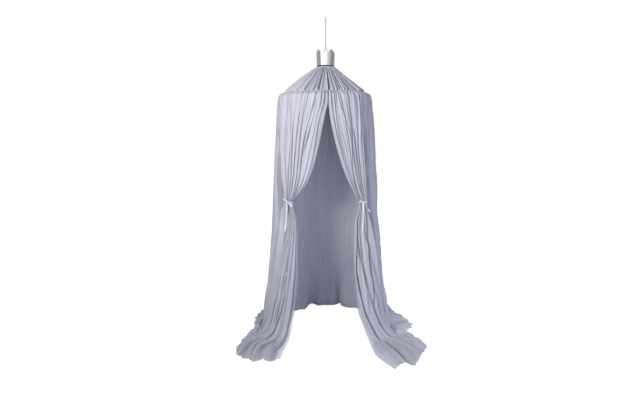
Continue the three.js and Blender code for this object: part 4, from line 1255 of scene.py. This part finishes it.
def make_bow(side, curtain):
    """The bow on the front of the band: its knot, two loops and two hanging ends."""
    centre, _, outward = waist_frame(curtain)
    beside = np.array([-outward[1], outward[0]])
    knot_out = waist_deep / 2 + band_gap + ribbon_thickness + touch_gap + knot_deep / 2
    place = np.append(centre + outward * knot_out, fall(tie_height))
    spin = Matrix.Rotation(math.atan2(beside[1], beside[0]), 3, "Z")
    make_bow_knot(side, place, spin)
    for i, (tilt, share) in enumerate(zip(curtain.loop_tilts, curtain.loop_shares)):
        make_bow_loop(f"bow_loop_{side}_{i + 1}", place, spin, tilt, share)

    down = np.linspace(0, 1, ribbon_rows)[:, None]
    cross = np.linspace(-0.5, 0.5, ribbon_columns)
    top = fall(tie_height) - knot_down / 2 - touch_gap
    cut = 1 - ribbon_slant * (cross + 0.5) * rise(down, 0.8, 0.2)
    pinch = 0.6 + 0.25 * rise(down, 0, 0.12) - 0.2 * down
    half_width = cross * ribbon_width * pinch
    for i, (length, start, drift, curl) in enumerate(curtain.ribbon_ends):
        middle = (start + drift * down + curl * down**2) * ribbon_width
        layer = knot_out + i * (ribbon_thickness + touch_gap)
        swing = ribbon_swing * np.sin(2.2 * math.pi * down + i) * down
        cup = ribbon_cup * np.cos(math.pi * cross)
        turned = curtain.ribbon_twist * np.sin(4 * down + i) + i * 1.15 * rise(down, 0, 0.3)
        twist = turned * rise(down, 0, 0.2)
        forward = layer + ribbon_lean * down + swing + cup + half_width * np.sin(twist)
        sideways = middle + half_width * np.cos(twist)
        flat = centre + beside * sideways[..., None] + outward * forward[..., None]
        add_ribbon(f"ribbon_end_{side}_{i + 1}", raised(flat, top - length * down * cut), end_thickness)


for side, curtain in curtains.items():
    make_band(side, curtain)
    make_bow(side, curtain)

# Steel on the solids that are shown as they are

for name in ("hoop", "hoop_ferrule", "crown_eyelet_1", "crown_eyelet_2", "crown_eyelet_3"):
    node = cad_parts[name]
    node.data.materials.clear()
    node.data.materials.append(materials["steel"])

# Camera, floor, light and background


def make_camera():
    scene = bpy.context.scene
    camera = bpy.data.objects.new("camera", bpy.data.cameras.new("camera"))
    scene.collection.objects.link(camera)
    camera.location = camera_place
    camera.rotation_euler = (camera_tilt * degree, 0, 0)
    camera.data.lens = camera_lens
    camera.data.sensor_width = camera_sensor
    camera.data.clip_end = camera_sight
    scene.camera = camera


def make_floor():
    """A pale floor that keeps the shadows and looks white to the camera."""
    level = fall(0) - floor_under_cloth
    corners = [(x * floor_half, y * floor_half, level) for x, y in ((-1, -1), (1, -1), (1, 1), (-1, 1))]
    mesh = bpy.data.meshes.new("studio_floor")
    mesh.from_pydata(corners, [], [(0, 1, 2, 3)])
    floor = bpy.data.objects.new("studio_floor", mesh)
    bpy.context.scene.collection.objects.link(floor)
    made = Nodes(bpy.data.materials.new("studio_floor"))
    grain = made.noise(made.texture_place("Object"), 3, 2.0)
    made.surface({"Base Color": made.ramp(grain, floor_tones), "Roughness": 0.9, "Specular IOR Level": 0.1})
    plain = made.tree.nodes["Principled BSDF"].outputs[0]
    glow = made.add("Emission", {"Color": white, "Strength": floor_glow}).outputs[0]
    both = made.add("AddShader", {0: plain, 1: glow}).outputs[0]
    shown = made.either(made.seen_by("Is Camera Ray"), plain, both)
    made.feed(made.tree.nodes["Material Output"], {"Surface": shown})
    floor.data.materials.append(made.owner)


def make_world():
    """White behind the object, soft blue-grey light on it, stronger from the front, and for shiny
    things a studio round them: a big white panel in front, grey walls beside it."""
    world = bpy.data.worlds.new("studio")
    bpy.context.scene.world = world
    made = Nodes(world)
    made.tree.nodes.clear()

    def background(colour, strength):
        return made.add("Background", {"Color": colour, "Strength": strength}).outputs[0]

    toward = made.add("SeparateXYZ", {0: made.texture_place("Generated")}).outputs
    back = made.math("MULTIPLY", toward["Y"], -1)
    azimuth = made.math("ARCTAN2", toward["X"], back)
    around = made.map_range(azimuth, {"From Min": -math.pi, "From Max": math.pi})
    walls = made.ramp(around, [(turn / 360 + 0.5, (grey, grey, grey)) for turn, grey in studio_walls])
    frontal = made.map_range(back, {"From Min": -1, "To Min": soft_behind, "To Max": soft_before})
    shiny = made.seen_by("Is Glossy Ray")
    light = made.either(shiny, background(soft_colour, frontal), background(walls, wall_light))
    whole = made.either(made.seen_by("Is Camera Ray"), light, background(white, 1.0))
    made.add("OutputWorld", {"Surface": whole})


def make_light(name, place, target, size, power, colour, spread):
    data = bpy.data.lights.new(name, "AREA")
    data.shape = "RECTANGLE"
    data.size, data.size_y = size
    data.energy = power
    data.color = colour
    data.spread = spread * degree
    light = bpy.data.objects.new(name, data)
    bpy.context.scene.collection.objects.link(light)
    light.location = place
    light.rotation_euler = (Vector(target) - Vector(place)).to_track_quat("-Z", "Y").to_euler()
    light.visible_glossy = False
    light.visible_camera = False


make_camera()
make_floor()
make_world()
for name, settings in lights.items():
    make_light(name, *settings)
bpy.context.scene.view_settings.view_transform = "Standard"
